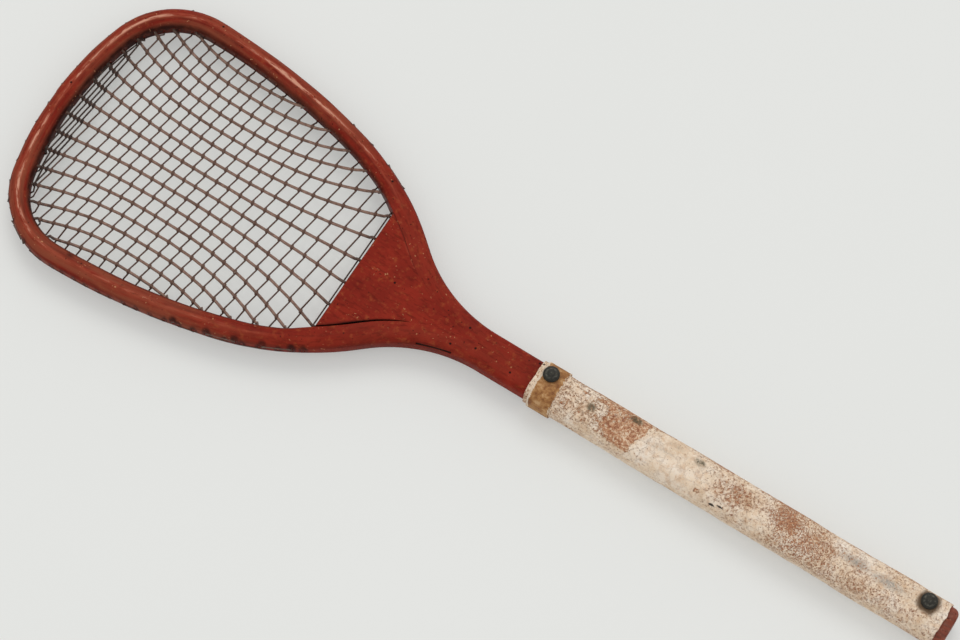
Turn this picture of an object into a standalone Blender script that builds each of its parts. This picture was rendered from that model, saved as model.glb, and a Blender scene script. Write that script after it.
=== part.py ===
"""Antique lawn tennis racket: bent ash hoop, throat wedge, laced gut strings and a leather grip.

X runs along the racket from the head (-X) to the butt (+X), Y across it, and Z up out of the
string bed. The racket lies on its grip, so the underside of the grip is at Z = 0.
"""
import math

import bmesh
import bpy
import numpy as np
from mathutils import Matrix, Vector

MM = 0.001

# Overall sizes
LENGTH = 686 * MM
CLEARANCE = 0.3 * MM

# Bent strip: its plan is a chain of tangent arcs (radius, sweep in degrees) from the head end
STRIP_WIDTH = 13.8 * MM
STRIP_DEPTH = 17.5 * MM
CREST_HEIGHT = 6.0 * MM
CREST_REACH = 0.47
EDGE_ROUND = 0.6 * MM
SHAFT_ROUND = 5.0 * MM
HOOP_ARCS = (
    (220 * MM, 15.0, 4),
    (51.5 * MM, 75.5, 12),
    (470 * MM, 15.0, 5),
    (198 * MM, 24.5, 6),
)
SHOULDER_RADIUS = 112 * MM
SHOULDER_STEPS = 8
CORNER_STEPS = 4
LEG_ROUND = 4.0 * MM
LEG_ROUND_RISE = 5.8 * MM
WALL_STEP = 0.5 * MM
SQUARE_RUN = 20.8 * MM
SHAFT_LEAD = 30 * MM
SHAFT_TRIM = 1.0 * MM

# Throat wedge
WEDGE_EDGE = 237.6 * MM
WEDGE_BLEND = 16 * MM
WEDGE_TAIL_HALF = 0.5 * MM
WEDGE_POINTS = 9

# Handle and grip
GRIP_START = 376 * MM
BUTT_SHOWN = 8 * MM
CHEEK_THICKNESS = 1.8 * MM
HANDLE_ROUND = 7.5 * MM
BAND_STEPS = 7
BUTT_ROUND = 4.5 * MM
BUTT_STEPS = 3
BUTT_FACE_SHARE = 0.25
BUTT_SIDE_SHARE = 0.5
SLEEVE_WALL = 1.25 * MM
COLLAR_START = 379 * MM
COLLAR_WIDTH = 16 * MM
COLLAR_WALL = 0.8 * MM

# Tacks
TACK_RADIUS = 5.5 * MM
TACK_DOME = 2.4 * MM
TACK_RIM = 0.5 * MM
TACK_SHANK = 1.1 * MM
TACK_LENGTH = 12 * MM
TACK_POINT = 3.3 * MM
TACK_SIDE = 5.7 * MM
TACK_UPPER = 385 * MM
TACK_TAIL = 22 * MM
TACK_STEPS = 20
TACK_RINGS = 5

# Strings
MAIN_COUNT = 16
MAIN_RADIUS = 0.75 * MM
MAIN_GAP_HEAD = 14.7 * MM
MAIN_GAP_WAIST = 10.4 * MM
MAIN_GAP_THROAT = 18.5 * MM
MAIN_WAIST = 112 * MM
MAIN_FLARE = 2.4
CROSS_COUNT = 22
CROSS_RADIUS = 0.55 * MM
CROSS_START = 31 * MM
CROSS_PITCH_HEAD = 7.9 * MM
CROSS_PITCH_THROAT = 10.5 * MM
CROSS_LEAN = 2.7
TREBLE_COUNT = 3
TREBLE_RADIUS = 0.4 * MM
TREBLE_START = 18.6 * MM
TREBLE_PITCH = 2.5 * MM
THROAT_STRING = 233.6 * MM
THROAT_RADIUS = 0.75 * MM
HOLE_ROW = 1.9 * MM
ROW_REACH = 9 * MM
UNDER_REACH = 14 * MM
WEAVE_SPARE = 0.1 * MM
TREBLE_SPARE = 0.35 * MM
HOLE_LEAD = 2.0 * MM
HOLE_OVERRUN = 4.0 * MM
LOOP_POINTS = 2
WRAP_DEGREES = (120, 60, 0)
MARCH_STEP = 0.2 * MM
AIM_STEPS = 20
MEET_PASSES = 8
HOLE_SIDES = 8
GAP_STEP = 1.0 * MM
GAP_SKIP = 12

# Values that follow from the sizes above
HALF_STRIP = STRIP_WIDTH / 2
LEG_Y = HALF_STRIP + CLEARANCE / 2
WOOD_HALF_WIDTH = 2 * HALF_STRIP + CLEARANCE / 2 - SHAFT_TRIM
WOOD_HALF_DEPTH = STRIP_DEPTH / 2 + CLEARANCE + CHEEK_THICKNESS
SLEEVE_GAP = CLEARANCE + SLEEVE_WALL
GRIP_HALF_DEPTH = WOOD_HALF_DEPTH + SLEEVE_GAP
COLLAR_PROUD = CLEARANCE + COLLAR_WALL
LOOP_PROUD = CLEARANCE + 2 * MAIN_RADIUS
MID_Z = GRIP_HALF_DEPTH + COLLAR_PROUD
HEAD_X = (LOOP_PROUD - LENGTH) / 2
GRIP_END = LENGTH - BUTT_SHOWN
TACK_LOWER = LENGTH - TACK_TAIL
SHAFT_FULL = COLLAR_START - SHAFT_LEAD
CROSS_SLOPE = math.tan(math.radians(CROSS_LEAN))


def place(x, y, z=0.0):
    """World point from a distance down the racket, a distance across and a height off mid depth."""
    return Vector((x + HEAD_X, y, z + MID_Z))


def ease(t):
    """Smooth step from 0 to 1."""
    t = min(max(t, 0.0), 1.0)
    return t * t * (3 - 2 * t)


def mix(a, b, t):
    return a + (b - a) * t


def clear_scene():
    for obj in list(bpy.data.objects):
        bpy.data.objects.remove(obj, do_unlink=True)


def new_collection(name):
    collection = bpy.data.collections.new(name)
    bpy.context.scene.collection.children.link(collection)
    return collection


def finish(name, color, roughness, metallic=0.0):
    material = bpy.data.materials.new(name)
    material.use_nodes = True
    shader = material.node_tree.nodes["Principled BSDF"]
    shader.inputs["Base Color"].default_value = (*color, 1.0)
    shader.inputs["Roughness"].default_value = roughness
    shader.inputs["Metallic"].default_value = metallic
    return material


def mesh_object(name, mesh, collection, material=None):
    obj = bpy.data.objects.new(name, mesh)
    collection.objects.link(obj)
    if material:
        mesh.materials.append(material)
    return obj


def shade(obj, angle=35.0):
    obj.data.shade_smooth()
    obj.data.set_sharp_from_angle(angle=math.radians(angle))


def loft(name, rings, collection, material=None, capped=True):
    """Skin through closed rings of equal point counts, with flat ends where it is capped."""
    bm = bmesh.new()
    rows = [[bm.verts.new(point) for point in ring] for ring in rings]
    for row, following in zip(rows, rows[1:]):
        for k in range(len(row)):
            n = (k + 1) % len(row)
            bm.faces.new((row[k], row[n], following[n], following[k]))
    if capped:
        bm.faces.new(rows[0])
        bm.faces.new(rows[-1])
    bmesh.ops.recalc_face_normals(bm, faces=bm.faces)
    mesh = bpy.data.meshes.new(name)
    bm.to_mesh(mesh)
    bm.free()
    obj = mesh_object(name, mesh, collection, material)
    shade(obj)
    return obj


def drill(target, cutters):
    """Take the cutters out of the target, all in one cut."""
    modifier = target.modifiers.new("drill", "BOOLEAN")
    modifier.operation = "DIFFERENCE"
    modifier.solver = "EXACT"
    modifier.object = cutters


def cutter(name, holes, collection):
    """One object of straight round holes, each given as (start, end, radius)."""
    bm = bmesh.new()
    for start, end, radius in holes:
        axis = end - start
        turn = axis.to_track_quat("Z", "Y").to_matrix().to_4x4()
        matrix = Matrix.Translation((start + end) / 2) @ turn
        outer = radius / math.cos(math.pi / HOLE_SIDES)
        bmesh.ops.create_cone(
            bm, cap_ends=True, segments=HOLE_SIDES, radius1=outer, radius2=outer,
            depth=axis.length, matrix=matrix,
        )
    mesh = bpy.data.meshes.new(name)
    bm.to_mesh(mesh)
    bm.free()
    obj = mesh_object(name, mesh, collection)
    obj.hide_render = True
    obj.display_type = "WIRE"
    return obj


def hoop_half():
    """Stations (x, y, heading) down one side, from the head end to where the leg runs straight."""
    stations = []
    x, y, heading = HALF_STRIP, 0.0, math.pi / 2

    def bend(radius, sweep, steps, way):
        nonlocal x, y, heading
        part = sweep / steps
        chord = 2 * radius * math.sin(part / 2)
        for _ in range(steps):
            stations.append((x, y, heading))
            x += chord * math.cos(heading - way * part / 2)
            y += chord * math.sin(heading - way * part / 2)
            heading -= way * part

    for radius, sweep, steps in HOOP_ARCS:
        bend(radius, math.radians(sweep), steps, 1)
    turn = -heading
    run = (y - LEG_Y - SHOULDER_RADIUS * (1 - math.cos(turn))) / math.sin(turn)
    stations.append((x, y, heading))
    x += run * math.cos(heading)
    y += run * math.sin(heading)
    bend(SHOULDER_RADIUS, turn, SHOULDER_STEPS, -1)
    stations.append((x, LEG_Y, 0.0))
    return stations


def hoop_walls():
    """Close points on the strip's middle line and their outward normals, both sides of the head."""
    points = []
    normals = []
    half = hoop_half()
    for (x0, y0, h0), (x1, y1, h1) in zip(half, half[1:]):
        count = max(2, round(math.hypot(x1 - x0, y1 - y0) / WALL_STEP))
        for k in range(count):
            t = k / count
            heading = mix(h0, h1, t)
            sag = math.hypot(x1 - x0, y1 - y0) * (h1 - h0) / 2 * t * (1 - t)
            chord = math.atan2(y1 - y0, x1 - x0)
            points.append((mix(x0, x1, t) + sag * math.sin(chord),
                           mix(y0, y1, t) - sag * math.cos(chord)))
            normals.append((-math.sin(heading), math.cos(heading)))
    right = np.array(points)
    right_normals = np.array(normals)
    flip = np.array((1.0, -1.0))
    middle = np.vstack((right[:0:-1] * flip, right))
    outward = np.vstack((right_normals[:0:-1] * flip, right_normals))
    return middle, outward


MIDDLE, OUTWARD = hoop_walls()


def nearest(point):
    return int(np.argmin(((MIDDLE - point) ** 2).sum(axis=1)))


def opening(point):
    """Distance from a point in the head to the inner wall of the hoop."""
    return float(np.sqrt(((MIDDLE - point) ** 2).sum(axis=1).min())) - HALF_STRIP


def strip_ring(x, y, heading, side, width_cut=0.0):
    """Section of the strip at one station: a rounded crest at the head, a squarer leg below it."""
    to_throat = ease((x - WEDGE_EDGE + WEDGE_BLEND) / SQUARE_RUN)
    to_handle = ease((x - WEDGE_EDGE) / (SHAFT_FULL - WEDGE_EDGE))
    under_grip = ease((x - SHAFT_FULL) / (GRIP_START - SHAFT_FULL))
    half_depth = STRIP_DEPTH / 2
    edge = HALF_STRIP - width_cut - SHAFT_TRIM * to_handle
    crest = STRIP_WIDTH * CREST_REACH
    outer = mix(mix(crest, SHAFT_ROUND, to_handle), LEG_ROUND, under_grip)
    outer_rise = mix(mix(CREST_HEIGHT, SHAFT_ROUND, to_handle), LEG_ROUND_RISE, under_grip)
    inner = mix(crest, EDGE_ROUND, to_throat)
    inner_rise = mix(CREST_HEIGHT, EDGE_ROUND, to_throat)
    corners = (
        (edge - outer, half_depth - outer_rise, outer, outer_rise, 0),
        (inner - HALF_STRIP, half_depth - inner_rise, inner, inner_rise, 1),
        (inner - HALF_STRIP, inner_rise - half_depth, inner, inner_rise, 2),
        (edge - outer, outer_rise - half_depth, outer, outer_rise, 3),
    )
    ring = []
    for across, up, reach, rise, quarter in corners:
        for k in range(CORNER_STEPS + 1):
            angle = math.pi / 2 * (quarter + k / CORNER_STEPS)
            out = across + reach * math.cos(angle)
            ring.append(place(
                x - out * math.sin(heading),
                side * (y + out * math.cos(heading)),
                up + rise * math.sin(angle),
            ))
    return ring


def butt_rounding():
    """Distances to the butt and how far the edge is rounded off at each."""
    angles = [math.pi / 2 * k / BUTT_STEPS for k in range(BUTT_STEPS + 1)]
    return [(BUTT_ROUND * (1 - math.sin(a)), BUTT_ROUND * (1 - math.cos(a))) for a in angles]


def build_hoop(parts, cutters, material, holes):
    half = hoop_half()
    leg_start = half[-1][0]
    leg = [(x, LEG_Y, 0.0, 0.0) for x in (mix(leg_start, GRIP_START, 0.5), GRIP_START)]
    leg += [(LENGTH - LOOP_PROUD - back, LEG_Y, 0.0, cut) for back, cut in butt_rounding()]
    stations = [(x, y, heading, 0.0) for x, y, heading in half] + leg
    left = [strip_ring(x, y, heading, -1, cut) for x, y, heading, cut in reversed(stations)]
    right = [strip_ring(x, y, heading, 1, cut) for x, y, heading, cut in stations[1:]]
    hoop = loft("frame_hoop", left + right, parts, material)
    drill(hoop, cutter("hoop_holes", holes, cutters))
    return hoop


def build_wedge(parts, material):
    """Throat block between the legs, from the string edge down to a blunt tail."""
    inner = []
    for point, normal in zip(MIDDLE, OUTWARD):
        wall = point - normal * (HALF_STRIP + CLEARANCE)
        if point[1] > 0 and wall[0] > WEDGE_EDGE and wall[1] > WEDGE_TAIL_HALF:
            inner.append(wall)
    picks = np.linspace(0, len(inner) - 1, WEDGE_POINTS).round().astype(int)
    side = [inner[k] for k in picks]
    outline = [(p[0], p[1]) for p in side] + [(p[0], -p[1]) for p in reversed(side)]
    curve = bpy.data.curves.new("throat_wedge", "CURVE")
    curve.dimensions = "2D"
    curve.fill_mode = "BOTH"
    curve.extrude = STRIP_DEPTH / 2
    spline = curve.splines.new("POLY")
    spline.points.add(len(outline) - 1)
    for point, (x, y) in zip(spline.points, outline):
        point.co = (x + HEAD_X, y, 0.0, 1.0)
    spline.use_cyclic_u = True
    curve.materials.append(material)
    obj = bpy.data.objects.new("throat_wedge", curve)
    obj.location.z = MID_Z
    parts.objects.link(obj)
    return obj


def rounded_ring(x, half_width, half_depth, radius):
    """Rounded rectangle across the handle at one distance down the racket."""
    ring = []
    signs = ((1, 1), (-1, 1), (-1, -1), (1, -1))
    for quarter, (across, up) in enumerate(signs):
        for k in range(BAND_STEPS + 1):
            angle = math.pi / 2 * (quarter + k / BAND_STEPS)
            ring.append(place(
                x,
                across * (half_width - radius) + radius * math.cos(angle),
                up * (half_depth - radius) + radius * math.sin(angle),
            ))
    return ring


def build_cheek(name, up, parts, cutters, material, holes=()):
    """Strip glued to the face of the legs, which builds the handle up to its full depth."""
    low = STRIP_DEPTH / 2 + CLEARANCE

    def handle_edge(height):
        over = max(0.0, height - (WOOD_HALF_DEPTH - HANDLE_ROUND))
        return WOOD_HALF_WIDTH - HANDLE_ROUND + math.sqrt(max(0.0, HANDLE_ROUND ** 2 - over ** 2))

    ends = [(GRIP_START + SLEEVE_WALL, 0.0)]
    ends += [(LENGTH - LOOP_PROUD - back, cut) for back, cut in butt_rounding()]
    rings = []
    for x, cut in ends:
        thick = CHEEK_THICKNESS - BUTT_FACE_SHARE * cut
        levels = [low + thick * k / CORNER_STEPS for k in range(CORNER_STEPS + 1)]
        side = []
        for z in levels:
            edge = handle_edge(z + BUTT_FACE_SHARE * cut)
            side.append((edge - BUTT_SIDE_SHARE * cut, z))
        profile = side + [(-y, z) for y, z in reversed(side)]
        rings.append([place(x, y, up * z) for y, z in profile])
    cheek = loft(name, rings, parts, material)
    if holes:
        drill(cheek, cutter(name + "_holes", holes, cutters))
    return cheek


def build_band(name, start, end, gap, wall, parts, cutters, material, holes):
    """Leather skin round the handle: an open wrap at its outer face, thickened inwards."""
    spread = gap + wall
    ring_size = (WOOD_HALF_WIDTH + spread, WOOD_HALF_DEPTH + spread, HANDLE_ROUND + spread)
    rings = [rounded_ring(x, *ring_size) for x in (start, end)]
    band = loft(name, rings, parts, material, capped=False)
    skin = band.modifiers.new("wall", "SOLIDIFY")
    skin.thickness = wall
    skin.offset = -1
    skin.use_even_offset = True
    drill(band, cutter(name + "_holes", holes, cutters))
    return band


def build_tack(name, x, seat, parts, material):
    """Domed tack driven down through the grip: a turned head on a pointed shank."""
    profile = [(0.0, TACK_DOME + TACK_RIM)]
    for k in range(1, TACK_RINGS + 1):
        angle = math.pi / 2 * k / TACK_RINGS
        profile.append((TACK_RADIUS * math.sin(angle), TACK_RIM + TACK_DOME * math.cos(angle)))
    profile += [(TACK_RADIUS, 0.0), (TACK_SHANK, 0.0)]
    profile += [(TACK_SHANK, TACK_POINT - TACK_LENGTH), (0.0, -TACK_LENGTH)]
    mesh = bpy.data.meshes.new(name)
    edges = [(k, k + 1) for k in range(len(profile) - 1)]
    mesh.from_pydata([(r, 0.0, z) for r, z in profile], edges, [])
    obj = mesh_object(name, mesh, parts, material)
    obj.location = place(x, TACK_SIDE, seat + CLEARANCE)
    turn = obj.modifiers.new("turn", "SCREW")
    turn.steps = TACK_STEPS
    turn.render_steps = TACK_STEPS
    turn.use_merge_vertices = True
    turn.merge_threshold = 0.00001
    turn.use_smooth_shade = True
    return obj


def tube(name, points, radius, parts, material):
    """One unbroken string along its route."""
    curve = bpy.data.curves.new(name, "CURVE")
    curve.dimensions = "3D"
    curve.bevel_depth = radius
    curve.bevel_resolution = 1
    curve.use_fill_caps = True
    spline = curve.splines.new("POLY")
    spline.points.add(len(points) - 1)
    for point, co in zip(spline.points, points):
        point.co = (*co, 1.0)
    curve.materials.append(material)
    obj = bpy.data.objects.new(name, curve)
    parts.objects.link(obj)
    return obj


def least_gap(name, points, radius):
    """Print the least free space between stretches of a string that lie apart along it."""
    dense = []
    for start, end in zip(points, points[1:]):
        count = max(1, round((end - start).length / GAP_STEP))
        dense += [start.lerp(end, k / count) for k in range(count)]
    spots = np.array(dense)
    least = math.inf
    for k in range(len(spots) - GAP_SKIP):
        apart = spots[k + GAP_SKIP:] - spots[k]
        least = min(least, float((apart ** 2).sum(axis=1).min()))
    print(f"{name}: least gap to itself {(math.sqrt(least) - 2 * radius) / MM:.2f} mm")


def main_gap(x):
    """Distance between neighbouring main strings, which draw together at the waist."""
    if x < MAIN_WAIST:
        share = (MAIN_WAIST - x) / (MAIN_WAIST - STRIP_WIDTH)
        return mix(MAIN_GAP_WAIST, MAIN_GAP_HEAD, share ** MAIN_FLARE)
    share = (x - MAIN_WAIST) / (WEDGE_EDGE - MAIN_WAIST)
    return mix(MAIN_GAP_WAIST, MAIN_GAP_THROAT, share ** MAIN_FLARE)


def main_y(j, x):
    return (j - (MAIN_COUNT - 1) / 2) * main_gap(x)


def cross_x(i):
    """Where cross string i meets the racket's middle line."""
    growth = (CROSS_PITCH_THROAT - CROSS_PITCH_HEAD) / (CROSS_COUNT - 2)
    return CROSS_START + i * CROSS_PITCH_HEAD + growth * i * (i - 1) / 2


def march(route, start, step, stop=None):
    """Follow a route from start until it meets the hoop's inner wall, or passes stop."""
    t = start
    while opening(np.array(route(t))) > 0:
        t += step
        if stop is not None and t >= stop:
            return None
    return t


class End:
    """Where a string meets the hoop: its hole, and the points it takes through and outside it."""

    def __init__(self, route, t, step, radius, row):
        here = np.array(route(t))
        way = here - np.array(route(t - AIM_STEPS * step))
        way /= np.linalg.norm(way)
        self.index = nearest(here)
        self.row = row
        self.radius = radius
        normal = OUTWARD[self.index]
        bore = way + normal
        bore /= np.linalg.norm(bore)
        through = STRIP_WIDTH / float(bore @ normal)
        self.lead = here - bore * HOLE_LEAD
        self.flush = here + bore * through
        self.proud = here + bore * (through + (CLEARANCE + radius) / float(bore @ normal))
        self.start = here - bore * HOLE_OVERRUN
        self.stop = here + bore * (through + HOLE_OVERRUN)

    def hole(self):
        return (place(*self.start, self.row), place(*self.stop, self.row),
                self.radius + CLEARANCE)

    def point(self, which):
        return place(*getattr(self, which), self.row)


def loop_outside(first, second):
    """Points along the outer wall of the hoop between two holes."""
    offset = HALF_STRIP + CLEARANCE + first.radius
    points = []
    ends = nearest(first.proud), nearest(second.proud)
    for k in range(1, LOOP_POINTS + 1):
        index = round(mix(*ends, k / (LOOP_POINTS + 1)))
        points.append(place(*(MIDDLE[index] + OUTWARD[index] * offset), first.row))
    return points


class Strings:
    """Routes of all the strings, worked out together so that they pass over and under."""

    def __init__(self):
        self.mains = []
        for j in range(MAIN_COUNT):
            def route(x, j=j):
                return x, main_y(j, x)
            head = march(route, MAIN_WAIST, -MARCH_STEP)
            throat = march(route, MAIN_WAIST, MARCH_STEP, THROAT_STRING)
            ends = [End(route, head, -MARCH_STEP, MAIN_RADIUS, HOLE_ROW)]
            if throat is not None:
                ends.append(End(route, throat, MARCH_STEP, MAIN_RADIUS, HOLE_ROW))
            self.mains.append({"head": head, "throat": throat, "ends": ends, "route": route})
        self.crosses = [self.across(cross_x(i), CROSS_RADIUS) for i in range(CROSS_COUNT)]
        self.trebles = [
            self.across(TREBLE_START + k * TREBLE_PITCH, TREBLE_RADIUS, 0.0)
            for k in range(TREBLE_COUNT)
        ]
        self.throat = self.across(THROAT_STRING, THROAT_RADIUS, 0.0, 0.0)

    def across(self, x, radius, slope=CROSS_SLOPE, row=-HOLE_ROW):
        """A string from one side of the hoop to the other, with the mains that it meets."""
        def route(y):
            return x + slope * y, y
        low = march(route, 0.0, -MARCH_STEP)
        high = march(route, 0.0, MARCH_STEP)
        ends = [End(route, low, -MARCH_STEP, radius, row),
                End(route, high, MARCH_STEP, radius, row)]
        meets = []
        for j in range(MAIN_COUNT):
            y = 0.0
            for _ in range(MEET_PASSES):
                y = main_y(j, x + slope * y)
            if low < y < high:
                meets.append((j, x + slope * y, y))
        return {"ends": ends, "meets": meets, "low": low, "high": high}

    def main_rise(self, j, x):
        """How far main j has risen towards its row of holes."""
        main = self.mains[j]
        to_wall = x - main["head"]
        if main["throat"] is not None:
            to_wall = min(to_wall, main["throat"] - x)
        return HOLE_ROW * (1 - ease(to_wall / ROW_REACH))

    def main_points(self, j):
        """Points down main j from the head to the throat, between its holes."""
        main = self.mains[j]
        spots = sorted(x for run in self.crosses + self.trebles for k, x, _ in run["meets"] if k == j)
        last = THROAT_STRING if main["throat"] is None else main["throat"]
        near = [min(x - main["head"], last - x) for x in spots]
        points = []
        for n, x in enumerate(spots):
            level = min(near[max(n - 1, 0):n + 2]) > ROW_REACH
            if near[n] < HOLE_LEAD or (level and n % 2):
                continue
            points.append(place(x, main_y(j, x), self.main_rise(j, x)))
        return points

    def cross_points(self, i, run, radius, follow):
        """Points along one cross string, over and under the mains by turns."""
        lift = MAIN_RADIUS + radius + CLEARANCE + (TREBLE_SPARE if follow else WEAVE_SPARE)
        points = []
        for j, x, y in run["meets"]:
            near_wall = min(y - run["low"], run["high"] - y)
            if near_wall < HOLE_LEAD:
                continue
            rise = self.main_rise(j, x)
            over = (i + j) % 2 == 1 and near_wall > (ROW_REACH if follow else UNDER_REACH)
            if follow:
                z = rise + lift if over else rise - lift
            else:
                z = lift if over and rise == 0 else -lift
            points.append(place(x, y, z))
        return points

    def throat_wrap(self, j):
        """Points where main j goes over the throat string and down behind it."""
        reach = MAIN_RADIUS + THROAT_RADIUS + 2 * CLEARANCE
        y = main_y(j, THROAT_STRING)
        angles = [math.radians(a) for a in WRAP_DEGREES]
        return [
            place(THROAT_STRING + reach * math.cos(a), y, reach * math.sin(a)) for a in angles
        ]

    def main_route(self):
        """The one long main string: down and up the head in turn, looped outside the hoop."""
        first_down = next(j for j in range(MAIN_COUNT) if self.mains[j]["throat"] is None)
        route = []
        for j, main in enumerate(self.mains):
            line = self.main_line(j)
            downward = (j - first_down) % 2 == 0
            if not downward:
                line.reverse()
            end = 0 if downward else 1
            if j and len(main["ends"]) > end:
                route += loop_outside(self.mains[j - 1]["ends"][end], main["ends"][end])
            route += line
        route[0] = self.mains[0]["ends"][first_down % 2].point("flush")
        route[-1] = self.mains[-1]["ends"][first_down % 2].point("flush")
        return route

    def main_line(self, j):
        """Main j from outside its head hole to outside its throat hole, or round the throat string."""
        head = self.mains[j]["ends"][0]
        line = [head.point("proud"), head.point("lead")] + self.main_points(j)
        if self.mains[j]["throat"] is None:
            return line + self.throat_wrap(j)
        throat = self.mains[j]["ends"][1]
        return line + [throat.point("lead"), throat.point("proud")]

    def across_route(self, runs, radius, follow):
        """One string laced to and fro through all its runs, looped outside the hoop."""
        route = []
        for i, run in enumerate(runs):
            low, high = run["ends"]
            line = [low.point("proud"), low.point("lead")]
            line += self.cross_points(i, run, radius, follow)
            line += [high.point("lead"), high.point("proud")]
            if i == 0:
                line[0] = low.point("flush")
            if i == len(runs) - 1:
                line[0 if i % 2 else -1] = (low if i % 2 else high).point("flush")
            if i % 2:
                line.reverse()
            if i:
                side = 1 if i % 2 else 0
                route += loop_outside(runs[i - 1]["ends"][side], run["ends"][side])
            route += line
        return route

    def throat_route(self):
        low, high = self.throat["ends"]
        return [low.point("flush"), low.point("lead"), high.point("lead"), high.point("flush")]

    def holes(self):
        ends = [end for main in self.mains for end in main["ends"]]
        for run in self.crosses + self.trebles + [self.throat]:
            ends += run["ends"]
        return [end.hole() for end in ends]


def tack_hole(x, seat):
    """Hole for a tack's shank, with its clearance."""
    return (place(x, TACK_SIDE, seat - TACK_LENGTH - CLEARANCE),
            place(x, TACK_SIDE, seat + TACK_LENGTH), TACK_SHANK + CLEARANCE)


def main():
    clear_scene()
    parts = new_collection("tennis_racket")
    cutters = new_collection("cutters")
    red_wood = finish("red_stained_ash", (0.27, 0.045, 0.022), 0.42)
    inner_wood = finish("handle_wood", (0.30, 0.09, 0.045), 0.55)
    main_gut = finish("main_gut", (0.22, 0.13, 0.085), 0.45)
    cross_gut = finish("cross_gut", (0.16, 0.09, 0.06), 0.5)
    leather = finish("worn_leather", (0.66, 0.57, 0.47), 0.85)
    ochre = finish("ochre_leather", (0.42, 0.23, 0.08), 0.7)
    iron = finish("blackened_iron", (0.025, 0.028, 0.026), 0.4, 0.7)

    strings = Strings()
    upper_seat = GRIP_HALF_DEPTH + COLLAR_PROUD
    lower_seat = GRIP_HALF_DEPTH
    upper_hole = tack_hole(TACK_UPPER, upper_seat)
    lower_hole = tack_hole(TACK_LOWER, lower_seat)
    tack_holes = [upper_hole, lower_hole]

    build_hoop(parts, cutters, red_wood, strings.holes() + tack_holes)
    build_wedge(parts, red_wood)
    build_cheek("handle_cheek_front", 1, parts, cutters, inner_wood, tack_holes)
    build_cheek("handle_cheek_back", -1, parts, cutters, inner_wood)
    build_band("grip_sleeve", GRIP_START, GRIP_END, CLEARANCE, SLEEVE_WALL,
               parts, cutters, leather, tack_holes)
    build_band("grip_collar", COLLAR_START, COLLAR_START + COLLAR_WIDTH,
               SLEEVE_GAP + CLEARANCE, COLLAR_WALL, parts, cutters, ochre, [upper_hole])
    build_tack("tack_upper", TACK_UPPER, upper_seat, parts, iron)
    build_tack("tack_lower", TACK_LOWER, lower_seat, parts, iron)
    laced = (
        ("main_string", strings.main_route(), MAIN_RADIUS, main_gut),
        ("cross_string", strings.across_route(strings.crosses, CROSS_RADIUS, False),
         CROSS_RADIUS, cross_gut),
        ("treble_string", strings.across_route(strings.trebles, TREBLE_RADIUS, True),
         TREBLE_RADIUS, cross_gut),
    )
    for name, route, radius, gut in laced:
        tube(name, route, radius, parts, gut)
        least_gap(name, route, radius)
    tube("throat_string", strings.throat_route(), THROAT_RADIUS, parts, main_gut)


main()
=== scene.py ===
"""Looks of the antique tennis racket: worn red ash, laced gut, a flaked leather grip and iron tacks.

Sizes are those of the CAD part, apart from the strings as they are shown. x runs down the racket from
its head end, y across it and z up from the middle of its depth; place() turns them into the CAD frame.
The near side is the one at -Y, which faces the camera.
"""
import math

import bpy
import numpy as np
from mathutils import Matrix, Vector, kdtree, noise


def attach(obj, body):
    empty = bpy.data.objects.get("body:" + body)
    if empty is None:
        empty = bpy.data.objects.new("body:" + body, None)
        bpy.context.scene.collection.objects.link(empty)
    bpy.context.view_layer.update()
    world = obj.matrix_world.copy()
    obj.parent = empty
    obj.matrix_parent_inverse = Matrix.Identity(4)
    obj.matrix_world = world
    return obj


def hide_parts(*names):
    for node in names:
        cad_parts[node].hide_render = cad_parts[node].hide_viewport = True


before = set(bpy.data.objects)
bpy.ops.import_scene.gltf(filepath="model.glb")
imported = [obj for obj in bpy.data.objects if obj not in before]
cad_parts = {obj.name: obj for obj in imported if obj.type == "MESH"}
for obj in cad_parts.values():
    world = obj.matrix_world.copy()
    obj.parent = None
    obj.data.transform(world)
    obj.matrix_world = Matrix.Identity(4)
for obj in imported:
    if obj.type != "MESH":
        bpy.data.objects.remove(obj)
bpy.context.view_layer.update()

MM = 0.001

# Sizes of the CAD part
LENGTH = 686 * MM
CLEARANCE = 0.3 * MM
STRIP_WIDTH = 13.8 * MM
STRIP_DEPTH = 17.5 * MM
CREST_HEIGHT = 6.0 * MM
CREST_REACH = 0.47
SHAFT_ROUND = 5.0 * MM
HOOP_ARCS = ((220 * MM, 15.0), (51.5 * MM, 75.5), (470 * MM, 15.0), (198 * MM, 24.5))
SHOULDER_RADIUS = 112 * MM
LEG_ROUND = 4.0 * MM
LEG_ROUND_RISE = 5.8 * MM
SQUARE_RUN = 20.8 * MM
SHAFT_LEAD = 30 * MM
SHAFT_TRIM = 1.0 * MM
WEDGE_EDGE = 237.6 * MM
WEDGE_BLEND = 16 * MM
WEDGE_TAIL_HALF = 0.5 * MM
GRIP_START = 376 * MM
BUTT_SHOWN = 8 * MM
CHEEK_THICKNESS = 1.8 * MM
HANDLE_ROUND = 7.5 * MM
BUTT_ROUND = 4.5 * MM
BUTT_FACE_SHARE = 0.25
BUTT_SIDE_SHARE = 0.5
SLEEVE_WALL = 1.25 * MM
COLLAR_START = 379 * MM
COLLAR_WIDTH = 16 * MM
COLLAR_WALL = 0.8 * MM
TACK_RADIUS = 5.5 * MM
TACK_DOME = 2.4 * MM
TACK_RIM = 0.5 * MM
TACK_SIDE = 5.7 * MM
TACK_UPPER = 385 * MM
TACK_TAIL = 22 * MM
MAIN_COUNT = 16
MAIN_RADIUS = 0.75 * MM
MAIN_GAP_HEAD = 14.7 * MM
MAIN_GAP_WAIST = 10.4 * MM
MAIN_GAP_THROAT = 18.5 * MM
MAIN_WAIST = 112 * MM
MAIN_FLARE = 2.4
CROSS_COUNT = 22
CROSS_RADIUS = 0.55 * MM
CROSS_START = 31 * MM
CROSS_PITCH_HEAD = 7.9 * MM
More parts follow.
